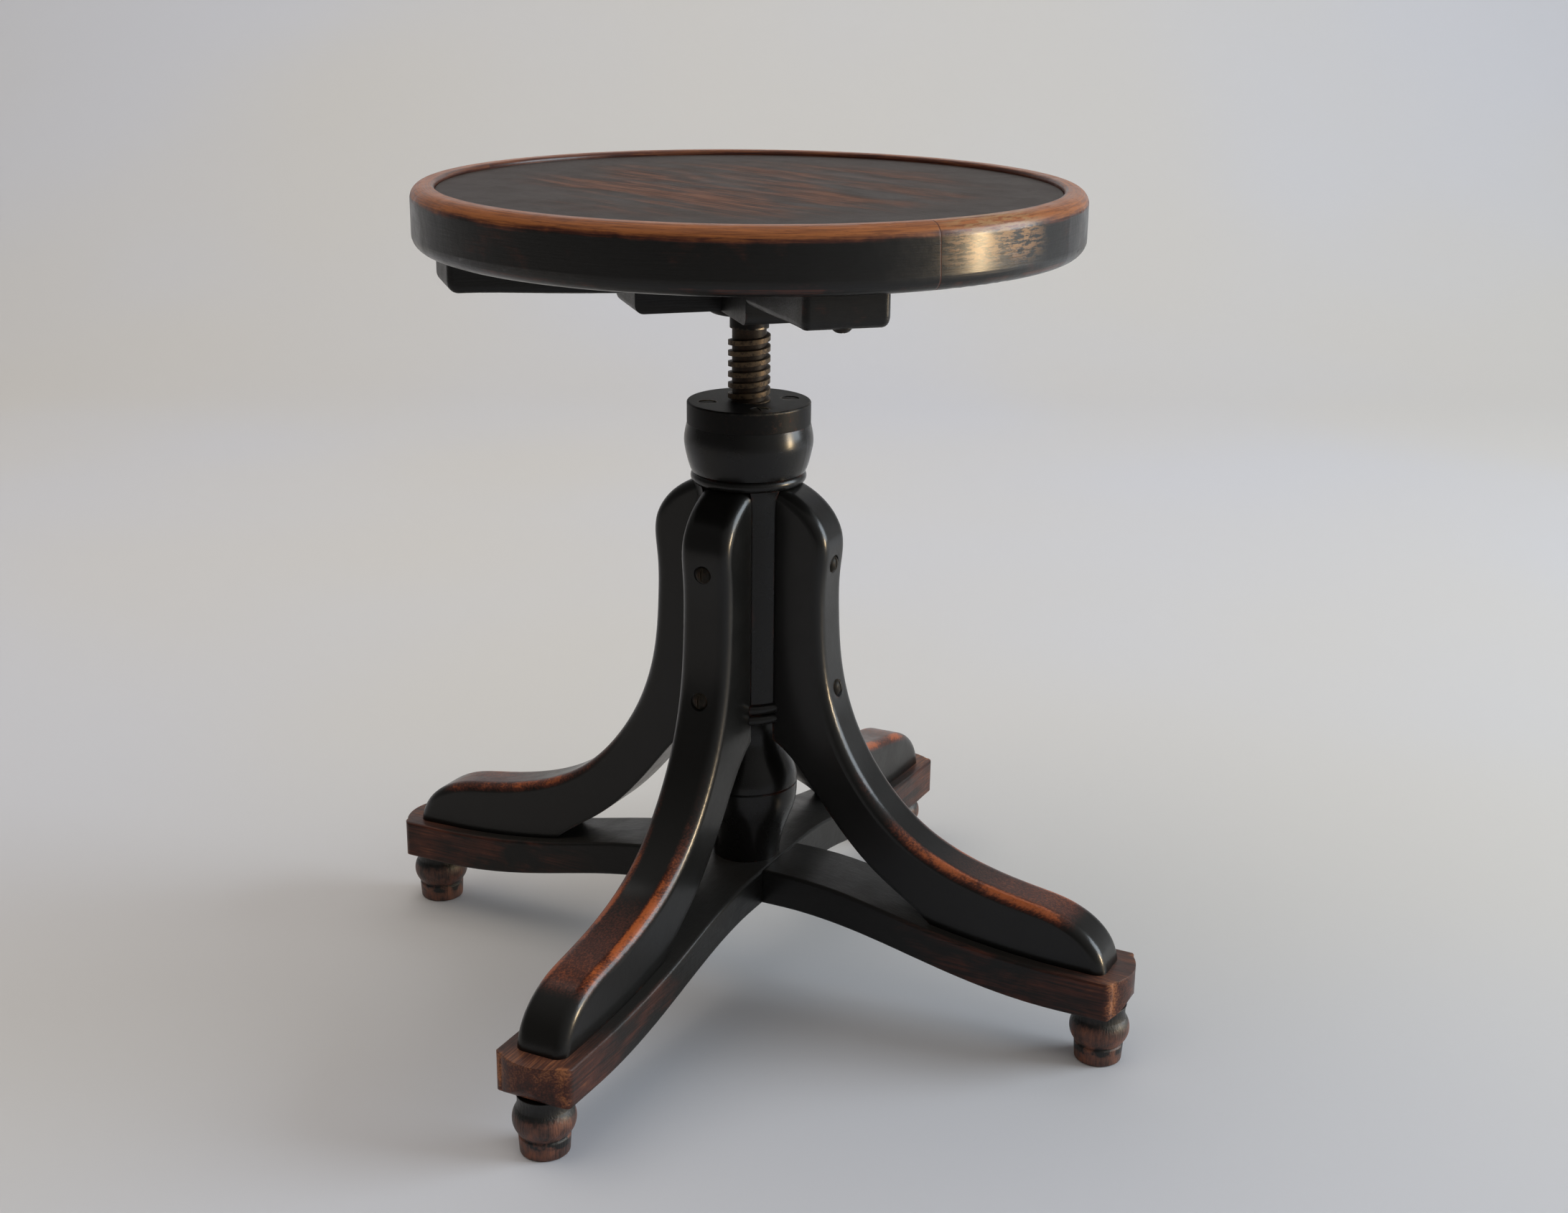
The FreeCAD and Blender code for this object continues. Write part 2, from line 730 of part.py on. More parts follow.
def nut_plate():
    """The groove starts on the screw's own helix, so that the two are in mesh as drawn."""
    ridge_start = thread_bottom + thread_root_width / 2
    turns_below = math.floor((nut_bottom - ridge_start) / thread_pitch) - 1
    turns_inside = math.ceil((plate_top - nut_bottom) / thread_pitch) + 3
    groove_start = ridge_start + turns_below * thread_pitch
    groove = thread_ridge(groove_start, groove_start + turns_inside * thread_pitch, thread_gap)
    disc = cylinder(plate_radius, column_top, plate_top)
    disc = disc.makeFillet(plate_edge_round, rim_edge(disc, plate_radius, plate_top))
    nut = cylinder(nut_radius, nut_bottom, column_top + past)
    minor_bore = cylinder(thread_root_radius + thread_gap, nut_bottom - past, plate_top + past)
    return disc.fuse(nut).cut([minor_bore] + plate_screw_holes).cut(groove)


save("nut_plate", nut_plate())
plate_screw = flat_screw(plate_screw_head_radius, plate_screw_shank_radius, plate_screw_length)
save("nut_plate_screws", Part.makeCompound(into_plate(plate_screw)))


# Flange: an iron disc with a boss below it, screwed up into the battens
def into_flange(shape):
    """Turn a countersunk shape head down and sink it into the flange."""
    reach = flange_radius - flange_screw_inset
    return around(moved(upside_down(shape), reach, 0, flange_bottom + screw_sink), 4, seat_heading)


flange_hole = countersink(flange_screw_head_radius, flange_screw_shank_radius, flange_screw_length)
flange_holes = into_flange(flange_hole)
flange_disc = cylinder(flange_radius, flange_bottom, batten_bottom)
flange_disc = flange_disc.makeFillet(flange_round, rim_edge(flange_disc, flange_radius, flange_bottom))
boss = cylinder(boss_radius, boss_bottom, flange_bottom + past)
shank_bore = cylinder(shank_radius + shank_gap, boss_bottom - past, batten_bottom + past)
save("seat_flange", flange_disc.fuse(boss).cut([shank_bore] + flange_holes))
flange_screw = flat_screw(flange_screw_head_radius, flange_screw_shank_radius, flange_screw_length)
save("flange_screws", Part.makeCompound(into_flange(flange_screw)))


# Battens: deep in the middle, stepped to thinner ends, lapped across each other
def batten_side():
    """Half of a batten's side, from its middle to its end."""
    middle = batten_middle_length / 2
    shoulder = at(middle, rim_bottom - batten_shoulder_depth)
    tip_height = rim_bottom - batten_end_depth
    tip = at(batten_reach - batten_corner_round, tip_height)
    corner = at(batten_reach, tip_height + batten_corner_round)
    corner_via = at(batten_reach - ease(batten_corner_round), tip_height + ease(batten_corner_round))
    step_top = at(middle, batten_bottom + batten_step_round)
    step_via = at(middle - ease(batten_step_round), batten_bottom + ease(batten_step_round))
    step_foot = at(middle - batten_step_round, batten_bottom)
    half_way = at((tip.x + middle) / 2, (tip_height + shoulder.z) / 2)
    half = [
        line(at(0, rim_bottom), at(batten_reach, rim_bottom)),
        line(at(batten_reach, rim_bottom), corner),
        arc(corner, corner_via, tip),
        curve([tip, half_way, shoulder], Vector(-1, 0, 0), shoulder - tip),
        line(shoulder, step_top),
        arc(step_top, step_via, step_foot),
        line(step_foot, at(0, batten_bottom)),
        line(at(0, batten_bottom), at(0, rim_bottom)),
    ]
    return Part.Face(Part.Wire(half))


def batten_blank():
    board = batten_side().extrude(Vector(0, batten_width, 0))
    board.translate(Vector(0, -batten_width / 2, 0))
    beyond_step = batten_middle_length / 2 + past
    across = [edge for edge in board.Edges if edge.BoundBox.YLength < stray]
    arrises = [edge for edge in across
               if edge.BoundBox.XMax > beyond_step and edge.BoundBox.ZMin < rim_bottom - past]
    board = board.makeFillet(batten_arris_round, arrises)
    return board.fuse(turn(board, 180)).removeSplitter()


batten = batten_blank()
screw_probe = line(at(batten_screw_reach, batten_bottom - past), at(batten_screw_reach, rim_bottom + past))
batten_screw_face = batten.common(screw_probe).BoundBox.ZMin
batten_screw_seat = at(batten_screw_reach, batten_screw_face + batten_screw_seat_depth)
batten_screw = upside_down(dome_screw(batten_screw_head_radius, batten_screw_head_height,
                                      batten_screw_shank_radius, batten_screw_length))
batten_screw.translate(batten_screw_seat)
batten_pilot = cylinder(batten_screw_shank_radius, batten_screw_seat.z - past,
                        batten_screw_seat.z + batten_screw_length, batten_screw_reach)
batten_pilots = around(batten_pilot, 4, seat_heading)
batten_spot_face = cylinder(batten_screw_head_radius + screw_sink, batten_bottom, batten_screw_seat.z,
                            batten_screw_reach)
rivet_pocket = cylinder(rivet_radius + rivet_room, batten_bottom - past,
                        batten_bottom + rivet_height + rivet_room)
batten_cuts = batten_pilots + around(batten_spot_face, 4, seat_heading) + flange_holes + [rivet_pocket]
batten_middle = (rim_bottom + batten_bottom) / 2
cross_width = batten_width + 2 * lap_gap
lap_over = block(cross_width, batten_width + past, batten_middle, rim_bottom + past)
lap_under = block(cross_width, batten_width + past, batten_bottom - past, batten_middle)
save("batten_long", turn(batten.cut(lap_over), seat_heading).cut(batten_cuts))
save("batten_cross", turn(batten.cut(lap_under), seat_heading + 90).cut(batten_cuts))
save("batten_screws", Part.makeCompound(around(batten_screw, 4, seat_heading)))


# Seat rim: a bent hoop, rebated for the panel
def rim_outline():
    crown = at(seat_radius - rim_crown_round, seat_top)
    crown_via = at(seat_radius - ease(rim_crown_round), seat_top - ease(rim_crown_round))
    side_top = at(seat_radius, seat_top - rim_crown_round)
    side_foot = at(seat_radius, rim_bottom + rim_foot_round)
    foot_via = at(seat_radius - ease(rim_foot_round), rim_bottom + ease(rim_foot_round))
    foot_edge = at(seat_radius - rim_foot_round, rim_bottom)
    lip_radius = seat_radius - rim_land
    lip_foot = at(lip_radius, seat_top - rim_lip_round)
    lip_via = at(lip_radius + ease(rim_lip_round), seat_top - ease(rim_lip_round))
    lip_top = at(lip_radius + rim_lip_round, seat_top)
    return [
        arc(crown, crown_via, side_top),
        line(side_top, side_foot),
        arc(side_foot, foot_via, foot_edge),
        line(foot_edge, at(rim_bore, rim_bottom)),
        line(at(rim_bore, rim_bottom), at(rim_bore, panel_bottom)),
        line(at(rim_bore, panel_bottom), at(lip_radius, panel_bottom)),
        line(at(lip_radius, panel_bottom), lip_foot),
        arc(lip_foot, lip_via, lip_top),
        line(lip_top, crown),
    ]


save("seat_rim", turned(rim_outline()).cut(batten_pilots))


# Seat panel: a thin round sheet that lies in the rim's rebate
save("seat_panel", cylinder(panel_radius, panel_bottom, panel_top))

print("seat top", round(seat_top, 2), "travel up", round(travel_up, 2), "down", round(travel_down, 2),
      "bore floor", round(bore_floor, 2))
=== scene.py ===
# %% [markdown]
# A revolving piano stool, about a hundred years old, of wood stained black to look like ebony.
# The construction comes ready made as a frame: every board, turned part, screw and iron fitting is a
# mesh at its real size and place. This lesson gives the stool its looks, piece by piece.
# Everything is in metres, with the origin on the floor under the column and +Z up.

# %% Load the frame
import json
import math

import bmesh
import bpy
from mathutils import Matrix, Vector


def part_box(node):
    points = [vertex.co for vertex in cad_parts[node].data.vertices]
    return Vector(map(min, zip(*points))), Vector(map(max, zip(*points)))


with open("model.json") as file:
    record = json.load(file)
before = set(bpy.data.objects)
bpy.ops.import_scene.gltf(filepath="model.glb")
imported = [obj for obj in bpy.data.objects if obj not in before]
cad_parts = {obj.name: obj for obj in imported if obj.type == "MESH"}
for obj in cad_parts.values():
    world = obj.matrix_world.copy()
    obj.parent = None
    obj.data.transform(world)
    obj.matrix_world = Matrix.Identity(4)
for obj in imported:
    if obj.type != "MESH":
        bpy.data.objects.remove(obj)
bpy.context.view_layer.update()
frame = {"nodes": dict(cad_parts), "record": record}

nodes = frame["nodes"]

# %% [markdown]
# The view is that of someone standing in front of the stool and a little to its right, who looks
# down on the seat. Where such a view comes from matters more than its lens: the ellipse of the seat
# and the four feet on the floor only fall into place from one spot. The camera therefore stands at a
# heading and distance from the column, and is aimed by a pan, a tilt and a slight roll.

# %% Camera
image_width = 2184
view_heading = math.radians(27.468)
view_distance = 1.13558
view_height = 0.59715
view_pan = math.radians(-1.0418)
view_tilt = math.radians(17.925)
view_roll = math.radians(0.6584)
focal_pixels = 2916.66
sensor_width = 36.0


def camera_axes():
    """Right, up and backward of the camera, from its pan, tilt and roll."""
    facing = view_heading + view_pan
    ahead = Vector((-math.sin(facing) * math.cos(view_tilt), math.cos(facing) * math.cos(view_tilt),
                    -math.sin(view_tilt)))
    level = ahead.cross(Vector((0, 0, 1))).normalized()
    above = level.cross(ahead)
    right = math.cos(view_roll) * level + math.sin(view_roll) * above
    top = math.cos(view_roll) * above - math.sin(view_roll) * level
    return right, top, -ahead


def make_camera():
    lens = bpy.data.cameras.new("camera")
    lens.sensor_fit = "HORIZONTAL"
    lens.sensor_width = sensor_width
    lens.lens = sensor_width * focal_pixels / image_width
    camera = bpy.data.objects.new("camera", lens)
    bpy.context.scene.collection.objects.link(camera)
    camera.matrix_world = Matrix(camera_axes()).transposed().to_4x4()
    camera.location = (view_distance * math.sin(view_heading), -view_distance * math.cos(view_heading),
                       view_height)
    bpy.context.scene.camera = camera
    return camera


camera = make_camera()
print("camera at", [round(v, 3) for v in camera.location], "lens", round(camera.data.lens, 2), "mm")

# %% [markdown]
# The stool stands on pale paper that sweeps up behind it. A floor and a separate wall would meet in a
# line, and a sky would leave nothing for the shadow to fall on. One sheet with a wide bend gives a
# background that turns from floor to wall with no edge. It is made by sliding a profile sideways.

# %% Floor and backdrop
sweep_front = -3.0
sweep_back = 1.6
sweep_radius = 1.2
sweep_top = 4.0
sweep_half_width = 5.0
sweep_steps = 24


def sweep_profile():
    """Points (run, height) from the front edge over the bend and up the wall."""
    points = [(sweep_front, 0.0)]
    for step in range(sweep_steps + 1):
        angle = math.radians(90) * step / sweep_steps
        run = sweep_back + sweep_radius * math.sin(angle)
        points.append((run, sweep_radius * (1 - math.cos(angle))))
    points.append((sweep_back + sweep_radius, sweep_top))
    return points


def make_sweep():
    mesh = bpy.data.meshes.new("paper_sweep")
    builder = bmesh.new()
    rows = [[builder.verts.new((side, run, height)) for side in (-sweep_half_width, sweep_half_width)]
            for run, height in sweep_profile()]
    for below, above in zip(rows, rows[1:]):
        builder.faces.new((below[0], below[1], above[1], above[0])).smooth = True
    builder.to_mesh(mesh)
    builder.free()
    sweep = bpy.data.objects.new("paper_sweep", mesh)
    sweep.rotation_euler = (0, 0, view_heading)
    bpy.context.scene.collection.objects.link(sweep)
    return sweep


paper = make_sweep()
print("paper sweep with", len(paper.data.polygons), "faces")

# %% [markdown]
# A material is a small machine of nodes, and so is the light of a room. These helpers place one node
# each, fill its sockets with numbers or links, and hand back the socket that matters, so that the
# materials below read as a list of what is done to the surface. Places on the stool are given to
# them in millimetres.

# %% Helpers for building node trees
nodes_in_row = 12
node_step = (190, 260)


def node(tree, kind, sockets=None, **settings):
    """Add a node, set its properties, and fill its sockets with values or links."""
    made = tree.nodes.new(kind)
    row, column = divmod(len(tree.nodes), nodes_in_row)
    made.location = (column * node_step[0], -row * node_step[1])
    for name, value in settings.items():
        setattr(made, name, value)
    for key, value in (sockets or {}).items():
        if isinstance(value, bpy.types.NodeSocket):
            tree.links.new(value, made.inputs[key])
        else:
            made.inputs[key].default_value = value
    return made


def calc(tree, operation, first, second=0.0, clamp=False):
    """One sum on two numbers."""
    made = node(tree, "ShaderNodeMath", {0: first, 1: second}, operation=operation, use_clamp=clamp)
    return made.outputs[0]


def plus(tree, first, second):
    return calc(tree, "ADD", first, second)


def minus(tree, first, second):
    return calc(tree, "SUBTRACT", first, second)


def times(tree, first, *others):
    """The product of two or more numbers."""
    for other in others:
        first = calc(tree, "MULTIPLY", first, other)
    return first


def largest(tree, first, *others):
    """The largest of two or more numbers."""
    for other in others:
        first = calc(tree, "MAXIMUM", first, other)
    return first


def ranged(tree, share, low, high):
    """A number that runs from low to high as the share runs from 0 to 1."""
    return plus(tree, low, times(tree, share, high - low))


def fade(tree, value, low, high):
    """0 below low, 1 above high, with a soft step between; a high below low turns it round."""
    made = node(tree, "ShaderNodeMapRange", {"Value": value, "From Min": low, "From Max": high},
                interpolation_type="SMOOTHSTEP")
    return made.outputs["Result"]


def band(tree, value, middle, half_width, softness):
    """1 near a middle value, 0 away from it."""
    away = calc(tree, "ABSOLUTE", minus(tree, value, middle))
    return fade(tree, away, half_width + softness, half_width)


def tint(tree, factor, first, second):
    """A colour between two colours."""
    made = node(tree, "ShaderNodeMix", {0: factor, 6: first, 7: second}, data_type="RGBA")
    return made.outputs[2]


def cloud(tree, vector, scale, detail=3.0, roughness=0.5, distortion=0.0):
    """Noise from 0 to 1, mostly near the middle."""
    made = node(tree, "ShaderNodeTexNoise", {"Vector": vector, "Scale": scale, "Detail": detail,
                                             "Roughness": roughness, "Distortion": distortion})
    return made.outputs["Fac"]


def stretch(tree, vector, x, y, z):
    """A vector with its three parts scaled."""
    made = node(tree, "ShaderNodeVectorMath", {0: vector, 1: (x, y, z)}, operation="MULTIPLY")
    return made.outputs[0]


def parts(tree, vector):
    """The three parts of a vector."""
    return node(tree, "ShaderNodeSeparateXYZ", {0: vector}).outputs


def vector_of(tree, x, y, z):
    """A vector made of three numbers."""
    return node(tree, "ShaderNodeCombineXYZ", {0: x, 1: y, 2: z}).outputs[0]


def turned_about(tree, vector, angle, axis="Z_AXIS"):
    """A vector turned about one axis, the upright one unless another is named."""
    made = node(tree, "ShaderNodeVectorRotate", {"Vector": vector, "Angle": angle}, rotation_type=axis)
    return made.outputs[0]


def millimetres(tree):
    """The place on the stool, in millimetres."""
    point = node(tree, "ShaderNodeTexCoord").outputs["Object"]
    return stretch(tree, point, 1000, 1000, 1000)


def true_normal(tree):
    return node(tree, "ShaderNodeNewGeometry").outputs["Normal"]


print("helpers ready")

# %% [markdown]
# Black polished wood is drawn by what it mirrors, so the lamps matter as much as the materials. A
# large cool window to the right, with its lower edge below the seat, puts long soft highlights on
# the turned head and the arrises. A small warm lamp in the same direction leaves golden glints; it
# is kept to reflections, so that it doesn't colour the paper. Warm light from overhead fills the
# shadows, and is kept out of reflections, where it would lie as grey patches on the legs. A fourth
# lamp lights the paper behind, so that floor and backdrop are equally pale. The room itself is dim
# in front of the stool: that keeps the black wood black.

# %% Lamps and world
room_front_level = 0.12
room_back_level = 0.55
room_front_from = -0.6
room_back_from = 0.8
room_colour = (1.0, 0.98, 0.95, 1.0)
room_bright_way = (0.55, 0.75, 0.36)
shown_background = (0.60, 0.62, 0.67, 1.0)


def area_lamp(name, place, aim, size, power, colour):
    """A flat lamp that faces the point it is aimed at."""
    data = bpy.data.lights.new(name, "AREA")
    data.shape = "RECTANGLE"
    data.size, data.size_y = size
    data.energy = power
    data.color = colour
    lamp = bpy.data.objects.new(name, data)
    lamp.location = place
    lamp.rotation_euler = (Vector(aim) - Vector(place)).to_track_quat("-Z", "Y").to_euler()
    bpy.context.scene.collection.objects.link(lamp)
    return lamp


window = area_lamp("window", place=(2.45, 1.15, 1.05), aim=(0, 0, 0.25), size=(1.6, 1.5),
                   power=69, colour=(0.80, 0.91, 1.0))
warm_lamp = area_lamp("warm_lamp", place=(2.30, 0.62, 0.30), aim=(0, 0, 0.32), size=(0.26, 0.44),
                      power=32, colour=(1.0, 0.74, 0.42))
warm_lamp.visible_diffuse = False
ceiling = area_lamp("ceiling", place=(-0.9, -0.5, 2.8), aim=(-0.5, -0.2, 0), size=(2.6, 2.6),
                    power=35, colour=(1.0, 0.91, 0.79))
ceiling.visible_glossy = False
backdrop_lamp = area_lamp("backdrop_lamp", place=(-0.2, 0.9, 2.3), aim=(-1.2, 2.7, 0.9), size=(2.4, 0.8),
                          power=18, colour=(1.0, 0.98, 0.95))


def make_world():
    """Brighter behind the stool and to its right, dim in front; plain pale where the camera sees it."""
    world = bpy.data.worlds.new("soft_room")
    world.use_nodes = True
    tree = world.node_tree
    tree.nodes.clear()
    heading = node(tree, "ShaderNodeTexCoord").outputs["Generated"]
    facing = node(tree, "ShaderNodeVectorMath", {0: heading, 1: Vector(room_bright_way).normalized()},
                  operation="DOT_PRODUCT")
    level = node(tree, "ShaderNodeMapRange", {"Value": facing.outputs["Value"],
                                              "From Min": room_front_from, "From Max": room_back_from,
                                              "To Min": room_front_level, "To Max": room_back_level})
    light = node(tree, "ShaderNodeBackground", {"Color": room_colour, "Strength": level.outputs["Result"]})
    seen = node(tree, "ShaderNodeBackground", {"Color": shown_background})
    path = node(tree, "ShaderNodeLightPath")
    mix = node(tree, "ShaderNodeMixShader", {0: path.outputs["Is Camera Ray"], 1: light.outputs[0],
                                             2: seen.outputs[0]})
    node(tree, "ShaderNodeOutputWorld", {"Surface": mix.outputs[0]})
    bpy.context.scene.world = world


make_world()
bpy.context.scene.view_settings.view_transform = "Standard"
print("lamps", [lamp.name for lamp in (window, warm_lamp, ceiling, backdrop_lamp)])

# %% [markdown]
# Places on the stool. Stain wears off where hands, skirts and shoes rub, and those places are easier
# to name in the stool's own directions than in x, y and z. The four arms and legs are copies turned
# by a quarter, so one group folds them onto each other: how far out along the arm, and how far to
# the side. A second group does the same for round parts: how far from the axis, at what turn and how
# high. Both give a grain vector in millimetres whose first part runs with the fibres. The boards are
# set far apart in the noise, so that no two of them have the same figure. The turn jumps from 180 to
# -180 degrees towards -x, a known weakness: there the figure of one leg, one arm and the bent rim
# breaks off along a line.

# %% Place groups
board_spacing = 731.0
bent_radius = 170.0


def effect(name, inputs, outputs):
    """An empty node group with named sockets; a colour has four parts, a vector three."""
    tree = bpy.data.node_groups.new(name, "ShaderNodeTree")
    kinds = {1: "NodeSocketFloat", 3: "NodeSocketVector", 4: "NodeSocketColor"}
    for socket, default in inputs.items():
        size = len(default) if isinstance(default, tuple) else 1
        made = tree.interface.new_socket(socket, in_out="INPUT", socket_type=kinds[size])
        made.default_value = default
    for socket, size in outputs.items():
        tree.interface.new_socket(socket, in_out="OUTPUT", socket_type=kinds[size])
    entry = tree.nodes.new("NodeGroupInput")
    leave = tree.nodes.new("NodeGroupOutput")
    return tree, entry.outputs, leave.inputs


def use(tree, group, sockets=None):
    """Place an effect in a material and return its outputs."""
    return node(tree, "ShaderNodeGroup", sockets, node_tree=group).outputs


def make_board_place():
    tree, _, out = effect("board_place", {}, {"Along": 1, "Side": 1, "Grain": 3})
    x, y, z = parts(tree, millimetres(tree))
    span_x = calc(tree, "ABSOLUTE", x)
    span_y = calc(tree, "ABSOLUTE", y)
    along = calc(tree, "MAXIMUM", span_x, span_y)
    side = calc(tree, "MINIMUM", span_x, span_y)
    heading = calc(tree, "ARCTAN2", y, x)
    quarter = calc(tree, "ROUND", calc(tree, "DIVIDE", heading, math.pi / 2))
    shifted = plus(tree, along, times(tree, quarter, board_spacing))
    runs_along_x = calc(tree, "GREATER_THAN", span_x, span_y)
    across = plus(tree, x, times(tree, runs_along_x, minus(tree, y, x)))
    tree.links.new(along, out["Along"])
    tree.links.new(side, out["Side"])
    tree.links.new(vector_of(tree, shifted, across, z), out["Grain"])
    return tree


def make_round_place():
    outputs = {"Radius": 1, "Turn": 1, "Height": 1, "Bent Grain": 3, "Turned Grain": 3, "Board Grain": 3}
    tree, _, out = effect("round_place", {}, outputs)
    x, y, z = parts(tree, millimetres(tree))
    radius = calc(tree, "SQRT", plus(tree, times(tree, x, x), times(tree, y, y)))
    angle = calc(tree, "ARCTAN2", y, x)
    arc = times(tree, angle, bent_radius)
    tree.links.new(radius, out["Radius"])
    tree.links.new(times(tree, angle, math.degrees(1)), out["Turn"])
    tree.links.new(z, out["Height"])
    tree.links.new(vector_of(tree, arc, radius, z), out["Bent Grain"])
    tree.links.new(vector_of(tree, z, x, y), out["Turned Grain"])
    tree.links.new(vector_of(tree, x, y, z), out["Board Grain"])
    return tree


board_place = make_board_place()
round_place = make_round_place()
print("place groups", board_place.name, round_place.name)

# %% [markdown]
# Wood fibre. Under the stain the wood has long fibres and short dark pores. A picture of wood would
# show seams and could not follow four boards and a bent hoop. Noise that is stretched along the
# fibres has neither fault. One noise gives the fibres, and the peaks of a finer one, cut off
# sharply, the pores.


# %% Wood fibre group
def make_fibre():
    tree, entry, out = effect("wood_fibre", {"Grain": (0.0, 0.0, 0.0), "Fineness": 1.0},
                              {"Fibre": 1, "Pores": 1})
    scaled = node(tree, "ShaderNodeVectorMath", {0: entry["Grain"], "Scale": entry["Fineness"]},
                  operation="SCALE").outputs[0]
    fibre = cloud(tree, stretch(tree, scaled, 0.035, 0.9, 0.9), 1.0, detail=4.0, roughness=0.65)
    pores = cloud(tree, stretch(tree, scaled, 0.16, 1.9, 1.9), 1.0, detail=1.0)
    tree.links.new(fade(tree, fibre, 0.32, 0.68), out["Fibre"])
    tree.links.new(fade(tree, pores, 0.62, 0.74), out["Pores"])
    return tree


wood_fibre = make_fibre()
print("effect", wood_fibre.name)

# %% [markdown]
# Edges. Sawn and turned wood is never sharp after years of polish and dusting. The Bevel node rounds
# an edge in the shading alone: its normal bends near the edge, and the highlight it catches is what
# makes an edge look touched. How far that normal departs from the true one also tells where the
# edges are, which is where stain goes first.

# %% Edge group
bevel_samples = 6


def make_edges():
    tree, entry, out = effect("edges", {"Softness": 0.0010, "Reach": 0.0030}, {"Normal": 3, "Edge": 1})
    soft = node(tree, "ShaderNodeBevel", {"Radius": entry["Softness"]}, samples=bevel_samples)
    wide = node(tree, "ShaderNodeBevel", {"Radius": entry["Reach"]}, samples=bevel_samples)
    facing = node(tree, "ShaderNodeVectorMath", {0: wide.outputs[0], 1: true_normal(tree)},
                  operation="DOT_PRODUCT")
    tree.links.new(soft.outputs[0], out["Normal"])
    tree.links.new(fade(tree, facing.outputs["Value"], 0.995, 0.80), out["Edge"])
    return tree


edges = make_edges()
print("effect", edges.name)

# %% [markdown]
# Worn stain. The black is only a skin. Rubbed a little it turns red-brown, rubbed more it shows
# orange wood, and the fibres decide where exactly it gives way: the soft ones lose it first. One
# group mixes the three colours by a wear value that the fibres nudge up and down. It also tells how
# dull the spot is, because bare wood has lost its polish.

# %% Worn stain group
ebony_stain = (0.0070, 0.0066, 0.0060, 1.0)
rubbed_red = (0.075, 0.022, 0.013, 1.0)
orange_wood = (0.37, 0.092, 0.027, 1.0)
pore_darkness = 0.40


def make_worn_stain():
    inputs = {"Wear": 0.0, "Fibre": 0.5, "Pores": 0.0, "Bite": 0.5,
              "Stain": ebony_stain, "Rubbed": rubbed_red, "Bare": orange_wood}
    tree, entry, out = effect("worn_stain", inputs, {"Colour": 4, "Dullness": 1})
    nudge = times(tree, minus(tree, entry["Fibre"], 0.5), entry["Bite"])
    touched = fade(tree, entry["Wear"], 0.0, 0.35)
    worn = plus(tree, entry["Wear"], times(tree, nudge, touched))
    rubbed = tint(tree, fade(tree, worn, 0.05, 0.60), entry["Stain"], entry["Rubbed"])
    bare = tint(tree, fade(tree, worn, 0.45, 1.05), rubbed, entry["Bare"])
    pored = tint(tree, times(tree, entry["Pores"], pore_darkness), bare, entry["Stain"])
    tree.links.new(pored, out["Colour"])
    tree.links.new(fade(tree, worn, 0.3, 1.0), out["Dullness"])
    return tree


def stained(tree, wear, fibre, bite, **colours):
    """Worn stain on one wood, with its own Stain, Rubbed or Bare colour where it has one."""
    return use(tree, worn_stain, {"Wear": wear, "Fibre": fibre["Fibre"], "Pores": fibre["Pores"],
                                  "Bite": bite, **colours})


worn_stain = make_worn_stain()
print("effect", worn_stain.name)

# %% [markdown]
# Marks of use. Polish that has been handled is nowhere equally bright: there are broad smudges, fine
# hairline scratches with the grain, and small dents. They change the gloss and the relief, and leave
# the colour alone. The scratches are thin bands cut out of noise.


# %% Use marks group
def make_use_marks():
    tree, entry, out = effect("use_marks", {"Grain": (0.0, 0.0, 0.0)},
                              {"Smudge": 1, "Scratch": 1, "Dents": 1})
    grain = entry["Grain"]
    smudge = cloud(tree, grain, 0.045, detail=4.0, roughness=0.6, distortion=0.4)
    lines = cloud(tree, stretch(tree, grain, 0.015, 0.30, 0.30), 1.0, detail=1.0, roughness=0.4)
    dents = cloud(tree, grain, 0.22, detail=2.0)
    scratch = times(tree, band(tree, lines, 0.5, 0.001, 0.003), fade(tree, smudge, 0.5, 0.6))
    tree.links.new(fade(tree, smudge, 0.35, 0.68), out["Smudge"])
    tree.links.new(scratch, out["Scratch"])
    tree.links.new(dents, out["Dents"])
    return tree


use_marks = make_use_marks()
print("effect", use_marks.name)

# %% [markdown]
# Every finish below ends in the same way: a Principled shader with its colour, gloss and relief. The
# numbers that are the same all over a surface sit on the shader's own sockets. Each finish is kept
# under the name that the frame's nodes ask for it by.

# %% Close a material
scratch_dullness = 0.04
finishes = {}


def new_material(name):
    material = bpy.data.materials.new(name)
    material.use_nodes = True
    material.node_tree.nodes.clear()
    return material, material.node_tree


def relief(tree, height, distance, strength, normal):
    """A bump on top of a normal; the distance is in metres."""
    made = node(tree, "ShaderNodeBump", {"Height": height, "Distance": distance, "Strength": strength,
                                         "Normal": normal})
    return made.outputs[0]


def polish(tree, dullness, marks, shiny, matt, unevenness=0.12):
    """Roughness between a shiny and a matt value, with smudges and scratches in it."""
    base = ranged(tree, dullness, shiny, matt)
    smudged = plus(tree, base, times(tree, minus(tree, marks["Smudge"], 0.5), unevenness))
    return calc(tree, "ADD", smudged, times(tree, marks["Scratch"], scratch_dullness), clamp=True)


def close(tree, sockets, **constants):
    """A Principled shader with changing sockets linked and constant ones set, and the output."""
    shader = node(tree, "ShaderNodeBsdfPrincipled", sockets)
    for name, value in constants.items():
        shader.inputs[name.replace("_", " ")].default_value = value
    node(tree, "ShaderNodeOutputMaterial", {"Surface": shader.outputs[0]})


def keep(name, material):
    """Keep a finish for the nodes of the frame that name it."""
    finishes[name] = material
    print("finish", name, "made of", len(material.node_tree.nodes), "nodes")


print("closing helpers ready")

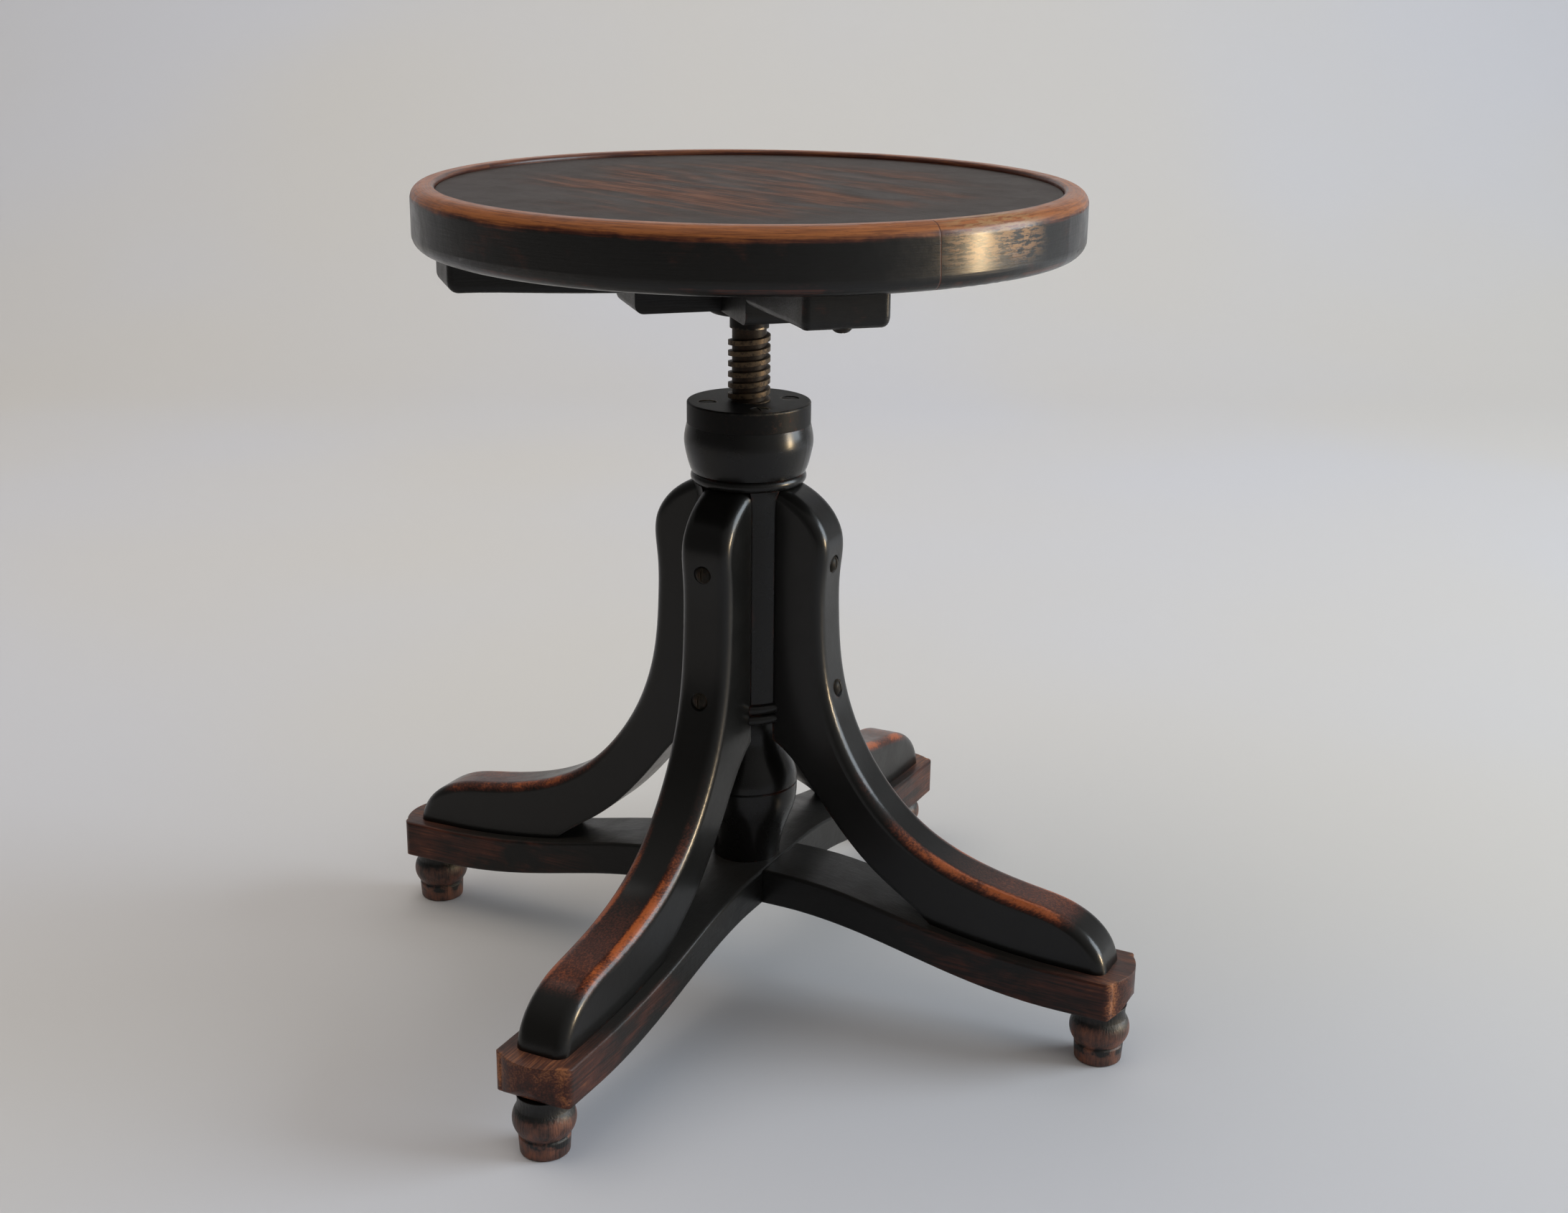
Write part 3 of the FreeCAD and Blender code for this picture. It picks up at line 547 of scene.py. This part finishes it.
# %% [markdown]
# The legs. Each is sawn from a board and rounded over on its outer edge. Skirts and heels rub the
# long sweep above the toe, so its arris has gone orange and its face dark red, while the knuckle and
# the blunt toe end are still black and shiny. The wear is therefore written in places along the leg:
# a stretch of the sweep, strongest on the rounded edge, fading out up the leg. Each pair of numbers
# says where a change begins and where it is complete.

# %% Leg wood
leg_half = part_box("leg_right")[1].y * 1000
leg_grain_slope = math.radians(40)
sweep_worn_from = (70, 150)
sweep_worn_to = (213, 199)
face_worn_from = (95, 190)
face_looking_up = (0.25, 0.7)
face_wear_range = (0.20, 0.80)
arris_worn_from = (55, 135)
arris_worn_to = (210, 197)
arris_looking_up = (0.05, 0.40)
arris_wear_range = (0.30, 1.05)
arris_inset = 3.4
arris_half_width = 1.0
arris_softness = 3.6
nick_wear = 0.5


def leg_wood():
    material, tree = new_material("sawn_wood")
    place = use(tree, board_place)
    sloped = turned_about(tree, place["Grain"], leg_grain_slope, "Y_AXIS")
    fibre = use(tree, wood_fibre, {"Grain": sloped})
    marks = use(tree, use_marks, {"Grain": place["Grain"]})
    edge = use(tree, edges, {"Softness": 0.004})
    along, side = place["Along"], place["Side"]
    patchy = cloud(tree, place["Grain"], 0.035, detail=4.0, roughness=0.6)
    upward = parts(tree, true_normal(tree))[2]
    face_run = times(tree, fade(tree, along, *sweep_worn_from), fade(tree, along, *sweep_worn_to),
                     fade(tree, along, *face_worn_from), fade(tree, upward, *face_looking_up))
    face_wear = times(tree, face_run, ranged(tree, patchy, *face_wear_range))
    arris = times(tree, band(tree, side, leg_half - arris_inset, arris_half_width, arris_softness),
                  fade(tree, upward, *arris_looking_up))
    arris_run = times(tree, fade(tree, along, *arris_worn_from), fade(tree, along, *arris_worn_to))
    arris_wear = times(tree, arris, arris_run,
                       ranged(tree, fade(tree, patchy, 0.3, 0.65), *arris_wear_range))
    nicks = times(tree, edge["Edge"], fade(tree, patchy, 0.52, 0.66), nick_wear)
    stain = stained(tree, largest(tree, face_wear, arris_wear, nicks), fibre, bite=0.35)
    hollow = plus(tree, times(tree, marks["Dents"], 0.5), times(tree, fibre["Fibre"], 0.12))
    close(tree, {"Base Color": stain["Colour"],
                 "Roughness": polish(tree, stain["Dullness"], marks, shiny=0.34, matt=0.44),
                 "Normal": relief(tree, hollow, 0.0005, 0.25, edge["Normal"])},
          Specular_IOR_Level=0.1, Coat_Weight=0.42, Coat_Roughness=0.2)
    return material


keep("sawn_wood", leg_wood())

# %% [markdown]
# The base arms lie lowest and are kicked most. Their ends are bare orange-brown wood with black left
# in the hollows of the grain, the upper edges are rubbed through along most of their length, and the
# middle is still black. Dust dulls their tops.

# %% Arm wood
arm_orange = (0.45, 0.17, 0.064, 1.0)
arm_dust = (0.16, 0.15, 0.14, 1.0)
dust_cover = 0.10
end_worn_from = (150, 232)
end_wear_range = (0.25, 0.63)
flank_from = (19, 22)
flank_worn_from = (50, 170)
flank_wear = 0.40
edge_worn_from = (30, 150)
edge_wear_range = (0.2, 0.75)
corner_along = (222, 236)
corner_aside = (9, 19)
corner_wear_range = (0.5, 1.05)
lying_flat_range = (0.7, 1.0)


def arm_wood():
    material, tree = new_material("arm_wood")
    place = use(tree, board_place)
    fibre = use(tree, wood_fibre, {"Grain": place["Grain"]})
    marks = use(tree, use_marks, {"Grain": place["Grain"]})
    edge = use(tree, edges, {"Softness": 0.0012, "Reach": 0.0035})
    along, side = place["Along"], place["Side"]
    patchy = cloud(tree, stretch(tree, place["Grain"], 0.5, 1.0, 1.0), 0.05, detail=4.0, roughness=0.6,
                   distortion=0.4)
    ragged = fade(tree, patchy, 0.30, 0.70)
    at_end = times(tree, fade(tree, along, *end_worn_from), ranged(tree, ragged, *end_wear_range))
    on_flank = times(tree, fade(tree, side, *flank_from), fade(tree, along, *flank_worn_from),
                     ragged, flank_wear)
    on_edge = times(tree, edge["Edge"], fade(tree, along, *edge_worn_from),
                    ranged(tree, ragged, *edge_wear_range))
    on_corner = times(tree, fade(tree, along, *corner_along), fade(tree, side, *corner_aside),
                      ranged(tree, ragged, *corner_wear_range))
    stain = stained(tree, largest(tree, at_end, on_flank, on_edge, on_corner), fibre, bite=0.3,
                    Bare=arm_orange)
    lying_flat = fade(tree, parts(tree, true_normal(tree))[2], *lying_flat_range)
    dusty = tint(tree, times(tree, lying_flat, dust_cover), stain["Colour"], arm_dust)
    hollow = plus(tree, times(tree, marks["Dents"], 0.7), times(tree, fibre["Fibre"], 0.2))
    close(tree, {"Base Color": dusty,
                 "Roughness": polish(tree, stain["Dullness"], marks, shiny=0.42, matt=0.55),
                 "Normal": relief(tree, hollow, 0.0006, 0.35, edge["Normal"])},
          Specular_IOR_Level=0.15, Coat_Weight=0.2, Coat_Roughness=0.22)
    return material


keep("arm_wood", arm_wood())

# %% [markdown]
# The feet stand where brooms and mops go, and have lost nearly all their black. What is left of it
# sits in the cut groove and in the hollow over the bead. They are turned, so the grain runs upright.

# %% Foot wood
foot_groove_height = 10.7
groove_stain_drop = 1.5
groove_half_width = 1.6
groove_softness = 1.8
foot_hollow_height = 30.5
hollow_half_width = 3.5
hollow_softness = 5.0
foot_brown = (0.105, 0.044, 0.030, 1.0)
foot_orange = (0.27, 0.095, 0.048, 1.0)
foot_wear_range = (0.22, 0.77)
kept_stain = 0.60


def foot_wood():
    material, tree = new_material("foot_wood")
    place = use(tree, round_place)
    fibre = use(tree, wood_fibre, {"Grain": place["Turned Grain"]})
    marks = use(tree, use_marks, {"Grain": place["Turned Grain"]})
    edge = use(tree, edges)
    patchy = cloud(tree, place["Board Grain"], 0.085, detail=4.0, roughness=0.6)
    groove_line = band(tree, place["Height"], foot_groove_height - groove_stain_drop, groove_half_width,
                       groove_softness)
    in_groove = times(tree, groove_line, fade(tree, patchy, 0.62, 0.44))
    in_hollow = band(tree, place["Height"], foot_hollow_height, hollow_half_width, hollow_softness)
    kept_black = largest(tree, in_groove, in_hollow)
    rubbed = ranged(tree, fade(tree, patchy, 0.3, 0.7), *foot_wear_range)
    wear = calc(tree, "SUBTRACT", rubbed, times(tree, kept_black, kept_stain), clamp=True)
    stain = stained(tree, wear, fibre, bite=0.25, Rubbed=foot_brown, Bare=foot_orange)
    hollow = plus(tree, marks["Dents"], times(tree, fibre["Fibre"], 0.4))
    close(tree, {"Base Color": stain["Colour"],
                 "Roughness": polish(tree, stain["Dullness"], marks, shiny=0.42, matt=0.6),
                 "Normal": relief(tree, hollow, 0.0007, 0.45, edge["Normal"])},
          Specular_IOR_Level=0.35, Coat_Weight=0.1, Coat_Roughness=0.3)
    return material


keep("foot_wood", foot_wood())

# %% [markdown]
# The column is out of reach of feet and hands and has kept its ebony finish. It came off a lathe, so
# very fine rings run round it, and the polish catches on them. Only the beads and the ring are
# rubbed a little.

# %% Column wood
bead_wear = 0.5
smoky_wear = 0.16


def turned_wood():
    material, tree = new_material("turned_wood")
    place = use(tree, round_place)
    fibre = use(tree, wood_fibre, {"Grain": place["Turned Grain"]})
    marks = use(tree, use_marks, {"Grain": place["Turned Grain"]})
    edge = use(tree, edges, {"Softness": 0.0006})
    patchy = cloud(tree, place["Board Grain"], 0.05, roughness=0.6)
    rings = cloud(tree, stretch(tree, place["Turned Grain"], 2.2, 0.02, 0.02), 1.0, detail=2.0,
                  roughness=0.6)
    on_beads = times(tree, edge["Edge"], fade(tree, patchy, 0.42, 0.66), bead_wear)
    smoky = times(tree, fade(tree, patchy, 0.58, 0.75), smoky_wear)
    stain = stained(tree, largest(tree, on_beads, smoky), fibre, bite=0.4)
    hollow = plus(tree, times(tree, rings, 0.25), times(tree, marks["Dents"], 0.3))
    close(tree, {"Base Color": stain["Colour"],
                 "Roughness": polish(tree, stain["Dullness"], marks, shiny=0.30, matt=0.45),
                 "Normal": relief(tree, hollow, 0.0004, 0.3, edge["Normal"])},
          Specular_IOR_Level=0.1, Coat_Weight=0.34, Coat_Roughness=0.22)
    return material


keep("turned_wood", turned_wood())

# %% [markdown]
# The seat's rim is one strip of wood bent into a hoop and glued at a slanting scarf. The hands that
# turn the seat and the legs that slide over it have polished its top edge to orange all the way
# round. Its side is still dark, apart from a golden patch beside the scarf. There, flakes of stain
# are all that is left, and the golden glint of the warm lamp is painted into the colour as a painted
# highlight. Turns are in degrees about the column.

# %% Rim wood
rim_low, rim_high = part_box("seat_rim")
rim_top = rim_high.z * 1000
rim_foot = rim_low.z * 1000
rim_radius = rim_high.x * 1000
rim_orange = (0.34, 0.115, 0.034, 1.0)
# painted highlight: the golden glint of the warm lamp on the rim's side, put into the colour
painted_glint_gold = (0.34, 0.19, 0.080, 1.0)
scarf_brown = (0.09, 0.028, 0.014, 1.0)
crown_from = rim_top - 9.0
crown_to = rim_top - 3.5
crown_raggedness = 7.0
crown_wear_range = (0.36, 0.86)
outside_from = rim_radius - 15.0
outside_to = rim_radius - 9.0
foot_line_height = rim_foot + 3.2
foot_line_wear = 0.32
faint_wear = 0.22
# where the worn patch with its painted golden highlight sits on the rim's side, turned towards the lamps
glint_patch_turn = -21.0
glint_patch_half_turn = 5.0
glint_patch_fade = 9.0
glint_patch_from = rim_foot + 6.0
glint_patch_to = rim_foot + 20.0
glint_patch_wear = 0.8
scarf_turn = -32.6
scarf_lean = 0.012
scarf_half_turn = 0.06
scarf_fade = 0.14


def rim_wood():
    material, tree = new_material("rim_wood")
    place = use(tree, round_place)
    fibre = use(tree, wood_fibre, {"Grain": place["Bent Grain"]})
    marks = use(tree, use_marks, {"Grain": place["Board Grain"]})
    edge = use(tree, edges, {"Softness": 0.0008})
    height, turn = place["Height"], place["Turn"]
    patchy = cloud(tree, place["Bent Grain"], 0.035, detail=4.0, roughness=0.6, distortion=0.4)
    ragged_height = plus(tree, height, times(tree, minus(tree, patchy, 0.5), crown_raggedness))
    crown = fade(tree, ragged_height, crown_from, crown_to)
    outside = fade(tree, place["Radius"], outside_from, outside_to)
    on_crown = times(tree, crown, ranged(tree, outside, *crown_wear_range))
    foot_line = times(tree, band(tree, height, foot_line_height, 0.7, 1.3), fade(tree, patchy, 0.35, 0.6))
    flakes = cloud(tree, stretch(tree, place["Bent Grain"], 0.11, 0.5, 0.5), 1.0, detail=4.0, roughness=0.7)
    # this patch is worn stain and a painted golden highlight at once
    worn_glint_patch = times(tree, band(tree, turn, glint_patch_turn, glint_patch_half_turn, glint_patch_fade),
                   fade(tree, height, glint_patch_from, glint_patch_to), fade(tree, flakes, 0.44, 0.56))
    faint = times(tree, fade(tree, patchy, 0.47, 0.72), faint_wear)
    wear = largest(tree, on_crown, times(tree, worn_glint_patch, glint_patch_wear),
                   times(tree, foot_line, foot_line_wear), faint)
    leaning_turn = plus(tree, turn, times(tree, minus(tree, height, rim_foot), scarf_lean))
    scarf = band(tree, leaning_turn, scarf_turn, scarf_half_turn, scarf_fade)
    stain = stained(tree, wear, fibre, bite=0.35, Bare=rim_orange)
    # paints the golden highlight into the colour of the patch
    glint_painted = tint(tree, times(tree, worn_glint_patch, 0.8), stain["Colour"], painted_glint_gold)
    jointed = tint(tree, times(tree, scarf, 0.8), glint_painted, scarf_brown)
    hollow = plus(tree, times(tree, marks["Dents"], 0.6), times(tree, fibre["Fibre"], 0.25))
    close(tree, {"Base Color": jointed,
                 "Roughness": polish(tree, stain["Dullness"], marks, shiny=0.34, matt=0.46),
                 "Normal": relief(tree, minus(tree, hollow, scarf), 0.0006, 0.35, edge["Normal"])},
          Specular_IOR_Level=0.15, Coat_Weight=0.35, Coat_Roughness=0.2)
    return material


keep("rim_wood", rim_wood())

# %% [markdown]
# The panel is a thin sheet of open-grained wood. Sitting has polished it brown in the middle, where
# the tall arches of the grain show as reddish streaks through the black, and left it darker near the
# rim. The arches are the rings of a tree cut at a shallow angle: here they are distances from a long
# thin ellipse, bent by noise and turned into stripes.

# %% Panel wood
panel_grain_heading = math.radians(20)
panel_figure_middle = (-14.0, 28.0)
arch_slimness = 0.16
arch_bend = 60.0
arch_closeness = 0.36
sat_on_from = (165.0, 60.0)
arch_wear = 0.26
broad_wear = 0.46
panel_black = (0.028, 0.019, 0.015, 1.0)
panel_brown = (0.115, 0.048, 0.028, 1.0)
panel_tan = (0.19, 0.085, 0.048, 1.0)


def arches_of(tree, grain, fibre):
    """Stripes in tall arches, 0 to 1, with their edges frayed by the fibres."""
    x, y, _ = parts(tree, grain)
    bend = times(tree, minus(tree, cloud(tree, grain, 0.012), 0.5), arch_bend)
    long_way = times(tree, minus(tree, x, panel_figure_middle[0]), arch_slimness)
    short_way = plus(tree, minus(tree, y, panel_figure_middle[1]), bend)
    ring = calc(tree, "SQRT", plus(tree, times(tree, long_way, long_way), times(tree, short_way, short_way)))
    stripe = calc(tree, "SINE", times(tree, ring, arch_closeness))
    return fade(tree, plus(tree, stripe, minus(tree, fibre["Fibre"], 0.5)), -0.9, 1.6)


def panel_wood():
    material, tree = new_material("panel_wood")
    place = use(tree, round_place)
    grain = turned_about(tree, place["Board Grain"], panel_grain_heading)
    fibre = use(tree, wood_fibre, {"Grain": grain, "Fineness": 0.8})
    marks = use(tree, use_marks, {"Grain": place["Board Grain"]})
    edge = use(tree, edges)
    sat_on = fade(tree, place["Radius"], *sat_on_from)
    broad = cloud(tree, stretch(tree, grain, 0.006, 0.022, 0.022), 1.0, roughness=0.6, distortion=0.3)
    wear = plus(tree, times(tree, arches_of(tree, grain, fibre), sat_on, arch_wear),
                times(tree, fade(tree, broad, 0.32, 0.66), sat_on, broad_wear))
    stain = stained(tree, wear, fibre, bite=0.5, Stain=panel_black, Rubbed=panel_brown, Bare=panel_tan)
    matt = times(tree, sat_on, fade(tree, broad, 0.30, 0.60))
    grooves = plus(tree, times(tree, fibre["Pores"], 0.5), times(tree, fibre["Fibre"], 0.2))
    hollow = minus(tree, times(tree, marks["Dents"], 0.4), grooves)
    close(tree, {"Base Color": stain["Colour"],
                 "Roughness": polish(tree, matt, marks, shiny=0.48, matt=0.62, unevenness=0.04),
                 "Normal": relief(tree, hollow, 0.0005, 0.3, edge["Normal"])},
          Specular_IOR_Level=0.18)
    return material


keep("panel_wood", panel_wood())

# %% [markdown]
# The battens under the seat are plain sawn boards, stained but hardly polished. Nobody rubs them
# except at their ends, where fingers reach under the rim to turn the seat.

# %% Batten wood
batten_heading = math.radians(-43.6)
batten_black = (0.009, 0.0085, 0.008, 1.0)
batten_tan = (0.26, 0.15, 0.065, 1.0)
batten_end_from = (140, 168)
batten_end_wear = 0.2
batten_edge_wear = 0.4


def batten_wood():
    material, tree = new_material("batten_wood")
    place = use(tree, round_place)
    grain = turned_about(tree, place["Board Grain"], batten_heading)
    fibre = use(tree, wood_fibre, {"Grain": grain})
    marks = use(tree, use_marks, {"Grain": grain})
    edge = use(tree, edges, {"Softness": 0.0012})
    patchy = cloud(tree, grain, 0.05, detail=4.0, roughness=0.6)
    at_ends = times(tree, fade(tree, place["Radius"], *batten_end_from), fade(tree, patchy, 0.42, 0.7),
                    batten_end_wear)
    on_edges = times(tree, edge["Edge"], fade(tree, patchy, 0.45, 0.7), batten_edge_wear)
    stain = stained(tree, largest(tree, at_ends, on_edges), fibre, bite=0.5, Stain=batten_black,
                    Bare=batten_tan)
    hollow = plus(tree, times(tree, marks["Dents"], 0.5), times(tree, fibre["Fibre"], 0.5))
    close(tree, {"Base Color": stain["Colour"],
                 "Roughness": polish(tree, stain["Dullness"], marks, shiny=0.45, matt=0.6),
                 "Normal": relief(tree, hollow, 0.0007, 0.4, edge["Normal"])},
          Specular_IOR_Level=0.15, Coat_Weight=0.2, Coat_Roughness=0.25)
    return material


keep("batten_wood", batten_wood())

# %% [markdown]
# The wedge in the column's foot never saw stain: it is plain hardwood, planed and glued.

# %% Raw wood
raw_dark = (0.30, 0.17, 0.085, 1.0)
raw_pale = (0.42, 0.26, 0.14, 1.0)
raw_pore = (0.16, 0.08, 0.04, 1.0)


def raw_wood():
    material, tree = new_material("raw_wood")
    place = use(tree, round_place)
    fibre = use(tree, wood_fibre, {"Grain": place["Turned Grain"]})
    edge = use(tree, edges)
    pale = tint(tree, fibre["Fibre"], raw_dark, raw_pale)
    close(tree, {"Base Color": tint(tree, times(tree, fibre["Pores"], 0.6), pale, raw_pore),
                 "Roughness": ranged(tree, fibre["Fibre"], 0.55, 0.70),
                 "Normal": relief(tree, fibre["Fibre"], 0.0004, 0.4, edge["Normal"])})
    return material


keep("raw_wood", raw_wood())

# %% [markdown]
# Iron. Old iron under black varnish is brown-black and a little pitted; where the varnish has gone on
# an edge the metal is bright, and rust has started beside it. One group makes the skin of all the
# iron parts, with how much of it is bare as an input.

# %% Iron group
black_varnish = (0.008, 0.0075, 0.007, 1.0)
bright_iron = (0.42, 0.34, 0.24, 1.0)
brown_rust = (0.060, 0.024, 0.013, 1.0)
varnish_roughness = 0.44
rust_roughness = 0.25
bare_smoothness = 0.12
bare_metallic = 0.95


def make_iron_skin():
    inputs = {"Grain": (0.0, 0.0, 0.0), "Bare": 0.0, "Rusty": 0.3, "Varnish": black_varnish,
              "Metal": bright_iron, "Rust": brown_rust}
    tree, entry, out = effect("iron_skin", inputs, {"Colour": 4, "Metallic": 1, "Roughness": 1, "Pits": 1})
    mottled = cloud(tree, entry["Grain"], 0.35, detail=5.0, roughness=0.7)
    pits = cloud(tree, entry["Grain"], 1.6, roughness=0.6)
    bare = calc(tree, "MULTIPLY", entry["Bare"], fade(tree, mottled, 0.30, 0.56), clamp=True)
    rust = calc(tree, "MULTIPLY", fade(tree, mottled, 0.50, 0.72), entry["Rusty"], clamp=True)
    rusted = tint(tree, rust, entry["Varnish"], entry["Rust"])
    rough = plus(tree, varnish_roughness, times(tree, rust, rust_roughness))
    tree.links.new(tint(tree, bare, rusted, entry["Metal"]), out["Colour"])
    tree.links.new(times(tree, bare, bare_metallic), out["Metallic"])
    tree.links.new(minus(tree, rough, times(tree, bare, bare_smoothness)), out["Roughness"])
    tree.links.new(plus(tree, times(tree, mottled, 0.5), times(tree, pits, 0.5)), out["Pits"])
    return tree


def close_iron(tree, skin, normal, pit_depth):
    """Close a material whose colour, metal and gloss all come from the iron skin."""
    close(tree, {"Base Color": skin["Colour"], "Metallic": skin["Metallic"], "Roughness": skin["Roughness"],
                 "Normal": relief(tree, skin["Pits"], pit_depth, 0.35, normal)},
          Specular_IOR_Level=0.1)


iron_skin = make_iron_skin()
print("effect", iron_skin.name)

# %% [markdown]
# The thick round plate on the column and the flange under the seat are cast and varnished black. The
# plate's upper rim has been rubbed bright on one side, where rust has browned it too.

# %% Black iron
struck_turn = -28.0
struck_half_turn = 9.0
struck_fade = 12.0
plate_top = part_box("nut_plate")[1].z * 1000
bright_rim_from = plate_top - 4.0
bright_rim_to = plate_top - 2.0


def black_iron():
    material, tree = new_material("black_iron")
    place = use(tree, round_place)
    edge = use(tree, edges, {"Softness": 0.0004, "Reach": 0.0026})
    uneven = cloud(tree, place["Board Grain"], 0.06, roughness=0.6)
    struck = band(tree, place["Turn"], struck_turn, struck_half_turn, struck_fade)
    upper = fade(tree, place["Height"], bright_rim_from, bright_rim_to)
    bare = times(tree, edge["Edge"], largest(tree, fade(tree, uneven, 0.46, 0.66), struck), upper)
    skin = use(tree, iron_skin, {"Grain": place["Board Grain"], "Bare": bare,
                                 "Rusty": ranged(tree, struck, 0.15, 0.85)})
    close_iron(tree, skin, edge["Normal"], pit_depth=0.0003)
    return material


keep("black_iron", black_iron())

# %% [markdown]
# The big screw is bare iron, browned by old oil. The nut keeps the flanks and crests of its thread
# bright, while dirt and oil stay dark at the root.

# %% Spindle iron
thread_root = 9.5
thread_crest = 11.7
oiled_brown = (0.022, 0.014, 0.010, 1.0)
worn_bronze = (0.32, 0.22, 0.125, 1.0)
oily_rust = (0.055, 0.026, 0.015, 1.0)
thread_bare_range = (0.04, 0.30)


def spindle_iron():
    material, tree = new_material("spindle_iron")
    place = use(tree, round_place)
    edge = use(tree, edges, {"Softness": 0.0003, "Reach": 0.0010})
    crest = fade(tree, place["Radius"], thread_root + 0.5, thread_crest - 0.2)
    skin = use(tree, iron_skin, {"Grain": place["Board Grain"], "Rusty": 0.7,
                                 "Bare": ranged(tree, crest, *thread_bare_range),
                                 "Varnish": oiled_brown, "Metal": worn_bronze, "Rust": oily_rust})
    close_iron(tree, skin, edge["Normal"], pit_depth=0.0002)
    return material


keep("spindle_iron", spindle_iron())

# %% [markdown]
# Wood screws: plain dark iron in the plate, the flange and underneath, and browned round heads on the
# legs, polished a little wherever a cloth has passed over their domes.

# %% Screw metals
plain_iron = (0.20, 0.17, 0.14, 1.0)
plain_varnish = (0.012, 0.011, 0.010, 1.0)
browned_iron = (0.20, 0.15, 0.10, 1.0)
browned_varnish = (0.010, 0.009, 0.007, 1.0)


def screw_metal(name, bare_share, metal, varnish):
    material, tree = new_material(name)
    edge = use(tree, edges, {"Softness": 0.0002, "Reach": 0.0006})
    bare = calc(tree, "ADD", bare_share, times(tree, edge["Edge"], 0.4), clamp=True)
    skin = use(tree, iron_skin, {"Grain": millimetres(tree), "Bare": bare, "Rusty": 0.5, "Metal": metal,
                                 "Varnish": varnish})
    close_iron(tree, skin, edge["Normal"], pit_depth=0.0001)
    return material


keep("screw_iron", screw_metal("screw_iron", 0.10, plain_iron, plain_varnish))
keep("screw_brass", screw_metal("screw_brass", 0.04, browned_iron, browned_varnish))

# %% [markdown]
# Each node of the frame names the finish it was given when it was built. Looking the material up by
# that name puts the right one on all twenty-six nodes.


# %% Put the finishes on
def dress(name, material):
    """Put one material in every slot of a node's mesh."""
    mesh = nodes[name].data
    if not mesh.materials:
        mesh.materials.append(material)
    for index in range(len(mesh.materials)):
        mesh.materials[index] = material


for subpart in frame["record"]["subparts"]:
    dress(subpart["node"], finishes[subpart["material_slot"]])

# %% [markdown]
# The paper is pale and slightly cool, a touch warmer in places, with the faintest tooth.

# %% Paper
warm_paper = (0.60, 0.585, 0.57, 1.0)
cool_paper = (0.585, 0.59, 0.63, 1.0)


def paper_finish():
    material, tree = new_material("paper")
    point = node(tree, "ShaderNodeTexCoord").outputs["Object"]
    drift = cloud(tree, point, 0.9, detail=2.0)
    tooth = cloud(tree, point, 220.0, detail=2.0)
    close(tree, {"Base Color": tint(tree, fade(tree, drift, 0.35, 0.65), warm_paper, cool_paper),
                 "Roughness": ranged(tree, drift, 0.78, 0.88),
                 "Normal": relief(tree, tooth, 0.0002, 0.2, true_normal(tree))},
          Specular_IOR_Level=0.2)
    return material


paper.data.materials.append(paper_finish())
print("paper dressed")
